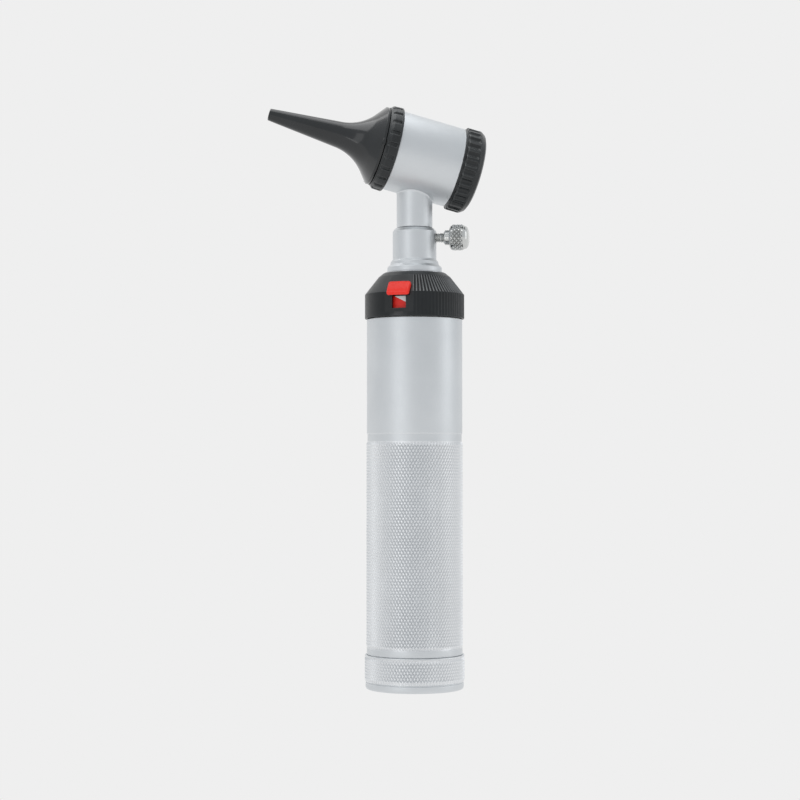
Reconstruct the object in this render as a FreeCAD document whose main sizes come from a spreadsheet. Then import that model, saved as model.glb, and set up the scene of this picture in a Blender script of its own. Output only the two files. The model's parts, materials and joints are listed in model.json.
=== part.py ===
import FreeCAD, Part
import os

import Sketcher
from FreeCAD import Placement, Rotation, Vector

# An otoscope that stands on its flat end cap: a two-cell handle, a dimmer ring with a release
# button, a collar with a clamp screw, and a sloping head with a speculum and an eyepiece.
# Frame: +Z up along the handle, origin at the centre of the end cap's flat face. The head's axis
# lies in the XZ plane, with the speculum towards -X and up. Millimetres.

# ---------------------------------------------------------------- driving dimensions

SIZES = [
    # cells and handle tube
    ("cell_r", 13.1), ("cell_length", 50.0), ("cell_nub_r", 3.0), ("cell_nub_rise", 1.5),
    ("cell_gap", 0.3), ("tube_wall", 1.0), ("knurl_rise", 0.1), ("groove_depth", 0.2),
    ("groove_width", 2.4), ("smooth_length", 34.5), ("plug_depth", 3.5), ("shoulder_band", 2.0),
    # end cap and its screw thread
    ("cap_floor", 2.0), ("cap_height", 10.4), ("cap_proud", 0.6), ("cap_rim_height", 2.1),
    ("cap_rim_step", 0.25), ("cap_fillet", 1.9), ("thread_step", 0.45), ("thread_gap", 0.08),
    ("tube_end_gap", 1.0), ("shoulder_gap", 0.1),
    # tail contact
    ("plate_r", 12.4), ("plate_thick", 0.5), ("spring_space", 5.0), ("tail_wire_r", 0.45),
    ("tail_coil_r", 8.0), ("tail_pitch", 1.5),
    # dimmer ring
    ("ring_proud", 0.6), ("ring_gap", 0.2), ("ring_side", 7.25), ("ring_cone", 5.25),
    ("ring_cone_step", 4.1), ("ring_chamfer_step", 1.45), ("ring_chamfer", 1.2),
    ("ring_wall", 1.6), ("band_slot", 1.4), ("ring_ceiling", 5.6), ("hub_wall", 1.88),
    ("hub_gap", 0.06), ("washer_thick", 0.18), ("washer_width", 1.2),
    # window and the band behind it
    ("window_width", 4.4), ("window_height", 3.8), ("window_drop", 1.09), ("band_gap", 0.3),
    ("band_wall", 0.8), ("wedge_relief", 0.12), ("band_drop", 0.2), ("band_foot", 0.8),
    ("slot_head", 0.1),
    # release button, on the ring's cone
    ("button_azimuth", -121.0), ("button_width", 6.9), ("button_length", 4.5),
    ("button_proud", 0.9), ("button_seat", 1.3), ("button_foot", 0.4), ("button_gap", 0.12),
    ("button_corner", 0.7), ("stem_r", 0.6), ("stem_reach", 3.0), ("stem_hole", 3.9),
    ("button_rise", 0.9), ("stem_gap", 0.08), ("stem_offset", 0.95),
    ("spring_bore_r", 1.2), ("spring_bore", 2.3), ("button_spring_height", 1.1),
    ("button_coil_inset", 0.35), ("button_wire_r", 0.15), ("button_pitch", 0.5),
    ("button_spring_gap", 0.2),
    # contacts in the hub
    ("rivet_r", 4.0), ("rivet_head", 0.5), ("rivet_stem_r", 1.5),
    ("pin_r", 1.0), ("pin_flange_r", 1.9), ("pin_flange", 0.8), ("hub_bore_r", 2.2),
    ("hub_spring", 5.0), ("contact_wire_r", 0.22), ("fit_gap", 0.05), ("track_thick", 0.4),
    ("seat_gap", 0.02), ("spring_floor", 0.5), ("contact_pitch", 0.8), ("pin_proud", 0.4),
    ("track_inner_r", 9.2), ("track_outer_r", 11.2), ("wiper_width", 1.6), ("wiper_gap", 0.05),
    # collar
    ("flange_step", 1.64), ("flange_thick", 1.9), ("collar_cone", 2.0), ("collar_wall", 2.35),
    ("collar_height", 13.5), ("collar_chamfer", 1.0), ("spigot_wall", 2.8), ("spigot_depth", 6.1),
    ("socket_floor", 3.0), ("insulator_r", 3.2), ("face_gap", 0.15),
    # neck and head
    ("neck_step", 1.2), ("neck_spigot_r", 4.2), ("neck_wall", 0.7), ("neck_length", 9.3186),
    ("neck_end_gap", 0.3),
    ("head_tilt", 14.2), ("barrel_r", 12.1), ("barrel_wall", 1.7), ("barrel_front", 7.24),
    ("barrel_back", 12.54), ("barrel_step", 0.7), ("front_thread", 2.36),
    ("back_thread", 3.06),
    # front ring, nosepiece and speculum, measured ahead of the neck's axis
    ("front_proud", 0.8), ("front_ring_depth", 3.96), ("front_lip", 0.6), ("front_lip_in", 0.1),
    ("front_ring_seam", 0.06), ("notch_count", 21), ("notch_width", 1.2), ("notch_depth", 0.45),
    ("notch_seat", 0.7), ("nose_collar_step", 0.1),
    ("nose_flange", 0.85), ("nose_skirt", 2.0), ("nose_skirt_wall", 0.5), ("nose_setback", 14.8),
    ("nose_gap", 0.35), ("nose_wall", 0.6), ("fibre_wall", 0.3), ("fibre_setback", 1.0),
    ("speculum_length", 33.6), ("tip_r", 1.81), ("tip_slope", 5.63), ("flare_r", 14.0),
    ("flare_slope", 50.0), ("base_gap", 1.0), ("base_step", 1.1), ("speculum_wall", 0.5),
    ("base_lip", 0.75), ("base_lip_proud", 0.15), ("base_lip_lap", 0.1),
    # eyepiece ring and lens, measured behind the neck's axis
    ("eye_gap", 0.82), ("eye_length", 5.84), ("eye_proud", 0.7), ("eye_bevel", 1.7),
    ("eye_bevel_step", 1.6), ("eye_lip", 1.0), ("eye_lip_in", 0.8), ("flute_count", 28),
    ("flute_r", 0.75), ("flute_depth", 0.35), ("flute_length", 3.6), ("gasket_thick", 0.6),
    ("gasket_width", 0.85), ("lens_edge", 1.7), ("lens_crown", 1.2), ("crown_inset", 0.6),
    # lamp and light guide
    ("lamp_length", 13.0), ("bulb_r", 2.0), ("bulb_length", 4.6),
    ("lamp_nub_r", 1.5), ("lamp_nub", 0.6), ("guide_r", 1.1), ("guide_inset", 0.6),
    ("guide_bend_r", 2.6), ("guide_bulb_gap", 0.4), ("guide_setback", 0.64), ("guide_hole_r", 1.6),
    # clamp screw
    ("screw_azimuth", -20.0), ("screw_drop", 2.9), ("screw_r", 1.475), ("screw_gap", 0.075),
    ("pad_r", 1.2), ("pad_length", 0.5), ("screw_cone", 0.7), ("shoulder_start", 2.6),
    ("shoulder_r", 2.25), ("shoulder_length", 1.7), ("knob_r", 3.9), ("knob_length", 4.3),
    ("knob_bevel", 0.5), ("knob_dome", 1.3), ("sink_r", 1.65), ("sink_depth", 0.5),
]

doc = FreeCAD.newDocument("Otoscope")
sheet = doc.addObject("Spreadsheet::Sheet", "Sizes")
for row, (alias, value) in enumerate(SIZES, start=1):
    sheet.set("A%d" % row, alias)
    sheet.set("B%d" % row, str(value))
    sheet.setAlias("B%d" % row, alias)
doc.recompute()

# Levels holds the heights and radii that follow from the driving dimensions.
levels = doc.addObject("App::VarSet", "Levels")


def level(name, rule):
    """Add a derived size, bound to the sheet and to the levels above it."""
    levels.addProperty("App::PropertyFloat", name)
    levels.setExpression(name, rule)


level("bore_r", "Sizes.cell_r + Sizes.cell_gap")
level("tube_r", "bore_r + Sizes.tube_wall")
level("thread_r", "tube_r - Sizes.thread_step")
level("cap_r", "tube_r + Sizes.cap_proud")
level("cap_bore_r", "thread_r + Sizes.thread_gap")
level("tube_low", "Sizes.cap_floor + Sizes.tube_end_gap")
level("plate_top", "Sizes.cap_floor + Sizes.plate_thick")
level("cells_low", "plate_top + Sizes.spring_space")
level("cells_top", "cells_low + 2 * Sizes.cell_length")
level("tube_top", "cells_top + Sizes.plug_depth")
level("groove_top", "tube_top - Sizes.smooth_length")
level("ring_r", "tube_r + Sizes.ring_proud")
level("ring_low", "tube_top + Sizes.ring_gap")
level("cone_low", "ring_low + Sizes.ring_side")
level("window_top", "cone_low - Sizes.window_drop")
level("slot_top", "window_top + Sizes.slot_head")
level("cone_top", "cone_low + Sizes.ring_cone")
level("cone_top_r", "ring_r - Sizes.ring_cone_step")
level("ring_top", "cone_top + Sizes.ring_chamfer")
level("spigot_r", "Sizes.insulator_r + Sizes.spigot_wall")
level("hub_r", "spigot_r + Sizes.seat_gap + Sizes.hub_wall")
level("ring_bore_r", "hub_r + Sizes.hub_gap")
level("ring_inner_r", "ring_r - Sizes.ring_wall - Sizes.band_slot")
level("hub_top", "ring_top + Sizes.ring_gap")
level("flange_top", "hub_top + Sizes.flange_thick")
level("collar_top", "hub_top + Sizes.collar_height")
level("socket_low", "hub_top + Sizes.socket_floor")
level("socket_r", "Sizes.neck_spigot_r + Sizes.fit_gap")
level("collar_r", "socket_r + Sizes.collar_wall")
level("flange_r", "collar_r + Sizes.flange_step")
level("neck_r", "Sizes.neck_spigot_r + Sizes.neck_step")
level("neck_bore_r", "Sizes.neck_spigot_r - Sizes.neck_wall")
level("lamp_r", "neck_bore_r - Sizes.fit_gap")
level("collar_low", "hub_top - Sizes.spigot_depth")
level("spring_low", "tube_top + Sizes.spring_floor")
level("pin_low", "spring_low + Sizes.hub_spring")
level("pin_top", "socket_low + Sizes.pin_proud")
level("lamp_low", "pin_top + Sizes.seat_gap")
level("lamp_base_low", "lamp_low + Sizes.lamp_nub")
level("lamp_top", "lamp_base_low + Sizes.lamp_length")
level("bulb_top", "lamp_top + Sizes.bulb_length")
level("guide_low", "bulb_top + Sizes.guide_bulb_gap")
level("neck_low", "socket_low + Sizes.neck_end_gap")
level("neck_shoulder", "collar_top + Sizes.face_gap")
level("head_height", "neck_shoulder + Sizes.neck_length"
      " + Sizes.barrel_r / cos(Sizes.head_tilt * 1 deg)")
level("screw_level", "collar_top - Sizes.screw_drop")
level("shoulder_start", "collar_r + Sizes.shoulder_start")
level("knob_start", "shoulder_start + Sizes.shoulder_length")
level("knob_end", "knob_start + Sizes.knob_length")
level("barrel_bore_r", "Sizes.barrel_r - Sizes.barrel_wall")
level("barrel_thread_r", "Sizes.barrel_r - Sizes.barrel_step")
level("front_ring_r", "Sizes.barrel_r + Sizes.front_proud")
level("front_lip_r", "barrel_bore_r - Sizes.front_lip_in")
level("front_ring_end", "Sizes.barrel_front + Sizes.front_ring_depth")
level("base_end", "front_ring_end + Sizes.base_gap")
level("base_r", "front_ring_r - Sizes.base_step")
level("tip_end", "base_end + Sizes.speculum_length")
level("nose_tip", "tip_end - Sizes.nose_setback")
level("eye_r", "Sizes.barrel_r + Sizes.eye_proud")
level("guide_offset", "barrel_bore_r - Sizes.guide_r - Sizes.guide_inset")
level("guide_end", "Sizes.barrel_front - Sizes.guide_setback")
level("front_thread_end", "Sizes.barrel_front + Sizes.front_thread")
level("back_thread_end", "Sizes.barrel_back + Sizes.back_thread")
level("ring_thread_r", "barrel_thread_r + Sizes.fit_gap")
level("eye_start", "Sizes.barrel_back + Sizes.eye_gap")
level("eye_end", "eye_start + Sizes.eye_length")
level("nose_flange_end", "front_thread_end + Sizes.fit_gap + Sizes.nose_flange")
level("gasket_low", "back_thread_end + Sizes.fit_gap")
level("lens_low", "gasket_low + Sizes.gasket_thick + Sizes.fit_gap")
level("band_r", "bore_r - Sizes.band_gap")
level("screw_tip", "socket_r + Sizes.pad_length")
doc.recompute()

# ---------------------------------------------------------------- helpers


def number(rule):
    """The present value of a rule, to start a sketch in its right place."""
    return float(levels.evalExpression(rule))


def new_body(name):
    return doc.addObject("PartDesign::Body", name)


def origin_plane(body, role):
    for feature in body.Origin.OriginFeatures:
        if feature.Role == role:
            return feature
    raise ValueError("no such plane: " + role)


def new_sketch(body, name, role="XZ_Plane"):
    sketch = body.newObject("Sketcher::SketchObject", name)
    sketch.AttachmentSupport = [(origin_plane(body, role), "")]
    sketch.MapMode = "FlatFace"
    return sketch


def bind_point(sketch, edge, end, across, along):
    """Hold one end of a sketch edge at two rules, measured from the sketch's origin."""
    for kind, rule in (("DistanceX", across), ("DistanceY", along)):
        spot = sketch.addConstraint(Sketcher.Constraint(kind, -1, 1, edge, end, number(rule)))
        sketch.setExpression("Constraints[%d]" % spot, rule)


def outline(sketch, points):
    """A closed outline of straight edges through points given as pairs of rules."""
    corners = [Vector(number(across), number(along), 0) for across, along in points]
    count = len(points)
    for spot in range(count):
        edge = Part.LineSegment(corners[spot], corners[(spot + 1) % count])
        sketch.addGeometry(edge, False)
    for spot in range(count):
        sketch.addConstraint(Sketcher.Constraint("Coincident", spot, 2, (spot + 1) % count, 1))
    for spot, (across, along) in enumerate(points):
        bind_point(sketch, spot, 1, across, along)
    return sketch


def revolve(body, sketch, kind="PartDesign::Revolution"):
    feature = body.newObject(kind, sketch.Name + "_turned")
    feature.Profile = sketch
    feature.ReferenceAxis = (sketch, ["V_Axis"])
    feature.Angle = 360
    return feature


def turned(name, points):
    """A body of revolution about its own Z axis."""
    body = new_body(name)
    revolve(body, outline(new_sketch(body, name + "_profile"), points))
    return body


def tube_points(inner, outer, low, high):
    return [(inner, low), (outer, low), (outer, high), (inner, high)]


def circle_sketch(body, name, centre, radius, role="XY_Plane"):
    sketch = new_sketch(body, name, role)
    spot = Vector(number(centre[0]), number(centre[1]), 0)
    sketch.addGeometry(Part.Circle(spot, Vector(0, 0, 1), number(radius)), False)
    bind_point(sketch, 0, 3, centre[0], centre[1])
    size = sketch.addConstraint(Sketcher.Constraint("Radius", 0, number(radius)))
    sketch.setExpression("Constraints[%d]" % size, radius)
    return sketch


def repeat_around(body, feature, count):
    """Repeat a feature around the body's Z axis."""
    pattern = body.newObject("PartDesign::PolarPattern", feature.Name + "_around")
    pattern.Originals = [feature]
    axis = [item for item in body.Origin.OriginFeatures if item.Role == "Z_Axis"][0]
    pattern.Axis = (axis, [""])
    pattern.Angle = 360
    pattern.setExpression("Occurrences", count)
    body.Tip = pattern
    return pattern


def coil(name, coil_r, wire_r, low, pitch, height):
    """A coil spring whose wire starts at the given height of its centre line."""
    body = new_body(name)
    sketch = circle_sketch(body, name + "_wire", (coil_r, low), wire_r, "XZ_Plane")
    feature = body.newObject("PartDesign::AdditiveHelix", name + "_helix")
    feature.Profile = sketch
    feature.ReferenceAxis = (sketch, ["V_Axis"])
    feature.Mode = 0
    feature.setExpression("Pitch", pitch)
    feature.setExpression("Height", height)
    return body


def primitive(kind, name, sizes, base=("0", "0", "0")):
    """A Part primitive with its sizes and its base bound to rules."""
    item = doc.addObject(kind, name)
    for field, rule in sizes.items():
        item.setExpression(field, rule)
    for letter, rule in zip("xyz", base):
        item.setExpression("Placement.Base." + letter, rule)
    return item


def turn(item, axis, rule):
    """Turn an object about an axis through its own base, by a rule in degrees."""
    item.Placement = Placement(item.Placement.Base, Rotation(axis, number(rule)))
    item.setExpression("Placement.Rotation.Angle", "(%s) * 1 deg" % rule)


def cut(name, base, tool):
    item = doc.addObject("Part::Cut", name)
    item.Base = base
    item.Tool = tool
    return item


def on_head(item):
    """Put an object's Z axis on the head's axis, pointing to the eyepiece."""
    turn(item, Vector(0, 1, 0), "90 + Sizes.head_tilt")
    item.setExpression("Placement.Base.z", "Levels.head_height")
    return item


def on_button(item, shift="0"):
    """Put an object's Z axis on the button's axis, pointing out of the ring's cone.

    Its X axis then runs down the slope and its Y axis runs around the ring. A shift moves
    it along that X axis.
    """
    lean = "(90 - atan2(Sizes.ring_cone_step; Sizes.ring_cone) / 1 deg)"
    base_r = "(Levels.ring_r - Sizes.button_rise * Sizes.ring_cone_step / Sizes.ring_cone)"
    tip = Rotation(Vector(0, 1, 0), number(lean))
    swing = Rotation(Vector(0, 0, 1), number("Sizes.button_azimuth"))
    radius = number(base_r)
    base = swing.multVec(Vector(radius, 0, number("Levels.cone_low + Sizes.button_rise")))
    along = Placement(Vector(number(shift), 0, 0), Rotation())
    item.Placement = Placement(base, swing * tip).multiply(along)
    item.setExpression(
        "Placement",
        "placement(vector(0; 0; Levels.cone_low + Sizes.button_rise);"
        " rotation(vector(0; 0; 1); Sizes.button_azimuth))"
        " * placement(vector(%s; 0; 0); rotation(vector(0; 1; 0); %s))"
        " * placement(vector(%s; 0; 0); rotation(vector(0; 1; 0); 0))" % (base_r, lean, shift),
    )
    return item


def on_screw(item):
    """Put an object's Z axis on the clamp screw's axis, pointing out of the collar."""
    item.setExpression(
        "Placement",
        "placement(vector(0; 0; Levels.screw_level);"
        " rotation(vector(0; 0; 1); Sizes.screw_azimuth))"
        " * placement(vector(0; 0; 0); rotation(vector(0; 1; 0); 90))",
    )
    return item


nodes = {}


def keep(node, item):
    """File an object as a finished piece under its node name."""
    item.Label = node
    nodes[node] = item
    return item


# ---------------------------------------------------------------- cells


def add_cell(prefix, low):
    shoulder = "%s + Sizes.cell_length - Sizes.cell_nub_rise" % low
    keep(prefix, turned(prefix, [
        ("0", low),
        ("Sizes.cell_r", low),
        ("Sizes.cell_r", shoulder),
        ("0", shoulder),
    ]))
    keep(prefix + "_cap", turned(prefix + "_cap", [
        ("0", shoulder),
        ("Sizes.cell_nub_r", shoulder),
        ("Sizes.cell_nub_r", "%s + Sizes.cell_length" % low),
        ("0", "%s + Sizes.cell_length" % low),
    ]))


add_cell("lower_cell", "Levels.cells_low")
add_cell("upper_cell", "Levels.cells_low + Sizes.cell_length")

# ---------------------------------------------------------------- handle tube

keep("handle_tube", turned("handle_tube", [
    ("Levels.bore_r", "Levels.tube_low"),
    ("Levels.thread_r", "Levels.tube_low"),
    ("Levels.thread_r", "Sizes.cap_height"),
    ("Levels.tube_r", "Sizes.cap_height"),
    ("Levels.tube_r", "Sizes.cap_height + Sizes.shoulder_band"),
    ("Levels.tube_r + Sizes.knurl_rise", "Sizes.cap_height + Sizes.shoulder_band"),
    ("Levels.tube_r + Sizes.knurl_rise", "Levels.groove_top - Sizes.groove_width"),
    ("Levels.tube_r - Sizes.groove_depth", "Levels.groove_top - Sizes.groove_width"),
    ("Levels.tube_r - Sizes.groove_depth", "Levels.groove_top"),
    ("Levels.tube_r", "Levels.groove_top"),
    ("Levels.tube_r", "Levels.tube_top"),
    ("Levels.bore_r", "Levels.tube_top"),
]))

# ---------------------------------------------------------------- end cap and tail contact

end_cap = turned("end_cap", [
    ("0", "0"),
    ("Levels.cap_r - Sizes.cap_rim_step", "0"),
    ("Levels.cap_r - Sizes.cap_rim_step", "Sizes.cap_rim_height"),
    ("Levels.cap_r", "Sizes.cap_rim_height"),
    ("Levels.cap_r", "Sizes.cap_height - Sizes.shoulder_gap"),
    ("Levels.cap_bore_r", "Sizes.cap_height - Sizes.shoulder_gap"),
    ("Levels.cap_bore_r", "Sizes.cap_floor"),
    ("0", "Sizes.cap_floor"),
])
doc.recompute()


def edge_at(body, height, radius):
    """The name of the full circular edge at a height and radius."""
    for spot, edge in enumerate(body.Shape.Edges, start=1):
        if not isinstance(edge.Curve, Part.Circle):
            continue
        if abs(edge.Curve.Radius - radius) < 0.001 and abs(edge.Curve.Center.z - height) < 0.001:
            return "Edge%d" % spot
    raise ValueError("no such edge")


cap_turned = end_cap.Tip
rim_edge = edge_at(end_cap, 0, number("Levels.cap_r - Sizes.cap_rim_step"))
rim_fillet = end_cap.newObject("PartDesign::Fillet", "cap_rim_fillet")
rim_fillet.Base = (cap_turned, [rim_edge])
rim_fillet.setExpression("Radius", "Sizes.cap_fillet")
keep("end_cap", end_cap)

keep("tail_contact_plate", turned("tail_contact_plate", [
    ("0", "Sizes.cap_floor"),
    ("Sizes.plate_r", "Sizes.cap_floor"),
    ("Sizes.plate_r", "Levels.plate_top"),
    ("0", "Levels.plate_top"),
]))
keep("tail_spring", coil(
    "tail_spring", "Sizes.tail_coil_r", "Sizes.tail_wire_r",
    "Levels.plate_top + Sizes.tail_wire_r + Sizes.fit_gap", "Sizes.tail_pitch",
    "Sizes.spring_space - 2 * Sizes.tail_wire_r - 2 * Sizes.fit_gap",
))

# ---------------------------------------------------------------- switch base and contacts

keep("switch_base", turned("switch_base", [
    ("Sizes.rivet_stem_r + Sizes.seat_gap", "Levels.cells_top + Sizes.rivet_head"),
    ("Levels.bore_r - Sizes.seat_gap", "Levels.cells_top + Sizes.rivet_head"),
    ("Levels.bore_r - Sizes.seat_gap", "Levels.tube_top"),
    ("Levels.hub_r", "Levels.tube_top"),
    ("Levels.hub_r", "Levels.hub_top"),
    ("Levels.spigot_r + Sizes.seat_gap", "Levels.hub_top"),
    ("Levels.spigot_r + Sizes.seat_gap", "Levels.collar_low"),
    ("Sizes.hub_bore_r", "Levels.collar_low"),
    ("Sizes.hub_bore_r", "Levels.spring_low"),
    ("Sizes.rivet_stem_r + Sizes.seat_gap", "Levels.spring_low"),
]))
keep("battery_contact", turned("battery_contact", [
    ("0", "Levels.cells_top"),
    ("Sizes.rivet_r", "Levels.cells_top"),
    ("Sizes.rivet_r", "Levels.cells_top + Sizes.rivet_head"),
    ("Sizes.rivet_stem_r", "Levels.cells_top + Sizes.rivet_head"),
    ("Sizes.rivet_stem_r", "Levels.spring_low"),
    ("0", "Levels.spring_low"),
]))
keep("contact_spring", coil(
    "contact_spring", "Sizes.pin_flange_r - Sizes.contact_wire_r", "Sizes.contact_wire_r",
    "Levels.spring_low + Sizes.contact_wire_r + Sizes.fit_gap", "Sizes.contact_pitch",
    "Sizes.hub_spring - 2 * Sizes.contact_wire_r - 2 * Sizes.fit_gap",
))
keep("contact_pin", turned("contact_pin", [
    ("0", "Levels.pin_low"),
    ("Sizes.pin_flange_r", "Levels.pin_low"),
    ("Sizes.pin_flange_r", "Levels.pin_low + Sizes.pin_flange"),
    ("Sizes.pin_r", "Levels.pin_low + Sizes.pin_flange"),
    ("Sizes.pin_r", "Levels.pin_top"),
    ("0", "Levels.pin_top"),
]))
keep("contact_insulator", turned("contact_insulator", tube_points(
    "Sizes.pin_r + Sizes.fit_gap", "Sizes.insulator_r - Sizes.seat_gap",
    "Levels.collar_low", "Levels.socket_low",
)))
keep("rheostat_track", turned("rheostat_track", tube_points(
    "Sizes.track_inner_r", "Sizes.track_outer_r",
    "Levels.tube_top", "Levels.tube_top + Sizes.track_thick",
)))

# ---------------------------------------------------------------- indicator band and wedge

WINDOW_TOP = "Levels.window_top"
band_blank = turned("band_blank", tube_points(
    "Levels.band_r - Sizes.band_wall", "Levels.band_r", "Levels.tube_top", WINDOW_TOP + " - Sizes.band_drop",
))
wedge_shell = turned("wedge_shell", tube_points(
    "Levels.band_r - Sizes.wedge_relief", "Levels.band_r",
    WINDOW_TOP + " - Sizes.window_height - Sizes.band_foot", WINDOW_TOP + " - Sizes.band_drop",
))

# The wedge is full height to the left of the window and runs out to a point on its right.
# Its outline is a prism that looks straight in along the button's azimuth.
wedge_prism = new_body("wedge_prism")
wedge_sketch = outline(new_sketch(wedge_prism, "wedge_outline", "YZ_Plane"), [
    ("Sizes.window_width * 0.8", WINDOW_TOP + " - Sizes.window_height * 0.75"),
    ("-Sizes.window_width * 0.5", WINDOW_TOP),
    ("-Levels.bore_r", WINDOW_TOP + " + 1"),
    ("-Levels.bore_r", WINDOW_TOP + " - Sizes.window_height - 1"),
    ("Sizes.window_width * 0.3", WINDOW_TOP + " - Sizes.window_height - 1"),
])
wedge_pad = wedge_prism.newObject("PartDesign::Pad", "wedge_pad")
wedge_pad.Profile = wedge_sketch
wedge_pad.setExpression("Length", "2 * Levels.bore_r")
turn(wedge_prism, Vector(0, 0, 1), "Sizes.button_azimuth")
wedge = doc.addObject("Part::Common", "indicator_wedge")
wedge.Base = wedge_shell
wedge.Tool = wedge_prism
keep("indicator_wedge", wedge)
keep("indicator_band", cut("indicator_band", band_blank, wedge))

keep("ring_washer", turned("ring_washer", tube_points(
    "Levels.ring_bore_r", "Levels.hub_r + Sizes.washer_width",
    "Levels.hub_top - Sizes.washer_thick", "Levels.hub_top",
)))

# ---------------------------------------------------------------- dimmer ring, button and wiper

ring_blank = turned("ring_blank", [
    ("Levels.ring_r - Sizes.ring_wall", "Levels.ring_low"),
    ("Levels.ring_r", "Levels.ring_low"),
    ("Levels.ring_r", "Levels.cone_low"),
    ("Levels.cone_top_r", "Levels.cone_top"),
    ("Levels.cone_top_r - Sizes.ring_chamfer_step", "Levels.ring_top"),
    ("Levels.ring_bore_r", "Levels.ring_top"),
    ("Levels.ring_bore_r", "Levels.ring_low + Sizes.ring_ceiling"),
    ("Levels.ring_inner_r", "Levels.ring_low + Sizes.ring_ceiling"),
    ("Levels.ring_inner_r", "Levels.slot_top"),
    ("Levels.ring_r - Sizes.ring_wall", "Levels.slot_top"),
])

window_tool = primitive("Part::Box", "window_tool", {
    "Length": "2 * Sizes.ring_wall", "Width": "Sizes.window_width",
    "Height": "Sizes.window_height",
})
window_tool.setExpression(
    "Placement",
    "placement(vector(0; 0; %s - Sizes.window_height);"
    " rotation(vector(0; 0; 1); Sizes.button_azimuth))"
    " * placement(vector(Levels.ring_r - 1.5 * Sizes.ring_wall; -Sizes.window_width / 2; 0);"
    " rotation(vector(0; 0; 1); 0))" % WINDOW_TOP,
)


def rounded_block(name, grow, low, high):
    """A block with rounded corners, from low to high along the button's axis."""
    body = new_body(name)
    half_down = "(Sizes.button_length / 2 + %s)" % grow
    half_round = "(Sizes.button_width / 2 + %s)" % grow
    sketch = outline(new_sketch(body, name + "_outline", "XY_Plane"), [
        ("-" + half_down, "-" + half_round),
        (half_down, "-" + half_round),
        (half_down, half_round),
        ("-" + half_down, half_round),
    ])
    sketch.AttachmentOffset = Placement(Vector(0, 0, number(low)), Rotation())
    sketch.setExpression("AttachmentOffset.Base.z", low)
    block = body.newObject("PartDesign::Pad", name + "_pad")
    block.Profile = sketch
    block.setExpression("Length", "(%s) - (%s)" % (high, low))
    doc.recompute()
    uprights = []
    for spot, edge in enumerate(body.Shape.Edges, start=1):
        if abs(edge.Vertexes[0].Z - edge.Vertexes[-1].Z) > 0.01:
            uprights.append("Edge%d" % spot)
    corners = body.newObject("PartDesign::Fillet", name + "_corners")
    corners.Base = (block, uprights)
    corners.setExpression("Radius", "Sizes.button_corner + %s" % grow)
    body.Tip = corners
    return body


def stepped_pin(name, steps):
    """A solid turned pin: steps are (radius, low, high) rules, stacked upwards."""
    points = [("0", steps[0][1])]
    for radius, low, high in steps:
        points.append((radius, low))
        points.append((radius, high))
    points.append(("0", steps[-1][2]))
    return turned(name, points)


STEM_SHIFT = "-Sizes.stem_offset"
seat_tool = on_button(rounded_block(
    "seat_tool", "Sizes.button_gap", "-Sizes.button_seat", "3 * Sizes.button_proud",
))
bore_tool = on_button(stepped_pin("bore_tool", [
    ("Sizes.stem_r + Sizes.stem_gap", "-Sizes.stem_hole", "-Sizes.spring_bore"),
    ("Sizes.spring_bore_r", "-Sizes.spring_bore", "0"),
]), STEM_SHIFT)
ring_tools = doc.addObject("Part::MultiFuse", "ring_tools")
ring_tools.Shapes = [window_tool, seat_tool, bore_tool]
keep("dimmer_ring", cut("dimmer_ring", ring_blank, ring_tools))

button_stem = on_button(stepped_pin("button_stem", [
    ("Sizes.stem_r", "-Sizes.stem_reach", "0"),
]), STEM_SHIFT)
button_top = on_button(rounded_block(
    "button_top", "0", "-Sizes.button_foot", "Sizes.button_proud",
))
button = doc.addObject("Part::Fuse", "lock_button")
button.Base = button_top
button.Tool = button_stem
keep("lock_button", button)

keep("button_spring", on_button(coil(
    "button_spring", "Sizes.spring_bore_r - Sizes.button_coil_inset", "Sizes.button_wire_r",
    "-Sizes.spring_bore + Sizes.button_spring_gap", "Sizes.button_pitch",
    "Sizes.button_spring_height - 2 * Sizes.button_spring_gap",
), STEM_SHIFT))

# The wiper is a leaf under the ring's ceiling, whose foot rides just above the track.
WIPER_R = "((Sizes.track_inner_r + Sizes.track_outer_r) / 2)"
wiper = primitive("Part::Box", "ring_wiper", {
    "Length": "Sizes.wiper_width", "Width": "Sizes.wiper_width",
    "Height": "Sizes.ring_ceiling + Sizes.ring_gap - Sizes.track_thick - Sizes.wiper_gap",
}, (
    WIPER_R + " - Sizes.wiper_width / 2", "-Sizes.wiper_width / 2",
    "Levels.tube_top + Sizes.track_thick + Sizes.wiper_gap",
))
keep("ring_wiper", wiper)

# ---------------------------------------------------------------- collar and clamp screw

collar_blank = turned("collar_blank", [
    ("Sizes.insulator_r", "Levels.collar_low"),
    ("Levels.spigot_r", "Levels.collar_low"),
    ("Levels.spigot_r", "Levels.hub_top"),
    ("Levels.flange_r", "Levels.hub_top"),
    ("Levels.flange_r", "Levels.flange_top"),
    ("Levels.collar_r", "Levels.flange_top + Sizes.collar_cone"),
    ("Levels.collar_r", "Levels.collar_top - Sizes.collar_chamfer"),
    ("Levels.collar_r - Sizes.collar_chamfer", "Levels.collar_top"),
    ("Levels.socket_r", "Levels.collar_top"),
    ("Levels.socket_r", "Levels.socket_low"),
    ("Sizes.insulator_r", "Levels.socket_low"),
])
screw_hole = on_screw(stepped_pin("screw_hole", [
    ("Sizes.screw_r + Sizes.screw_gap", "Sizes.pin_r", "Levels.collar_r - Sizes.sink_depth"),
    ("Sizes.sink_r", "Levels.collar_r - Sizes.sink_depth", "Levels.collar_r + 1"),
]))
keep("handle_collar", cut("handle_collar", collar_blank, screw_hole))

keep("pressure_pad", on_screw(stepped_pin("pressure_pad", [
    ("Sizes.pad_r", "Levels.socket_r", "Levels.screw_tip"),
])))

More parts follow.
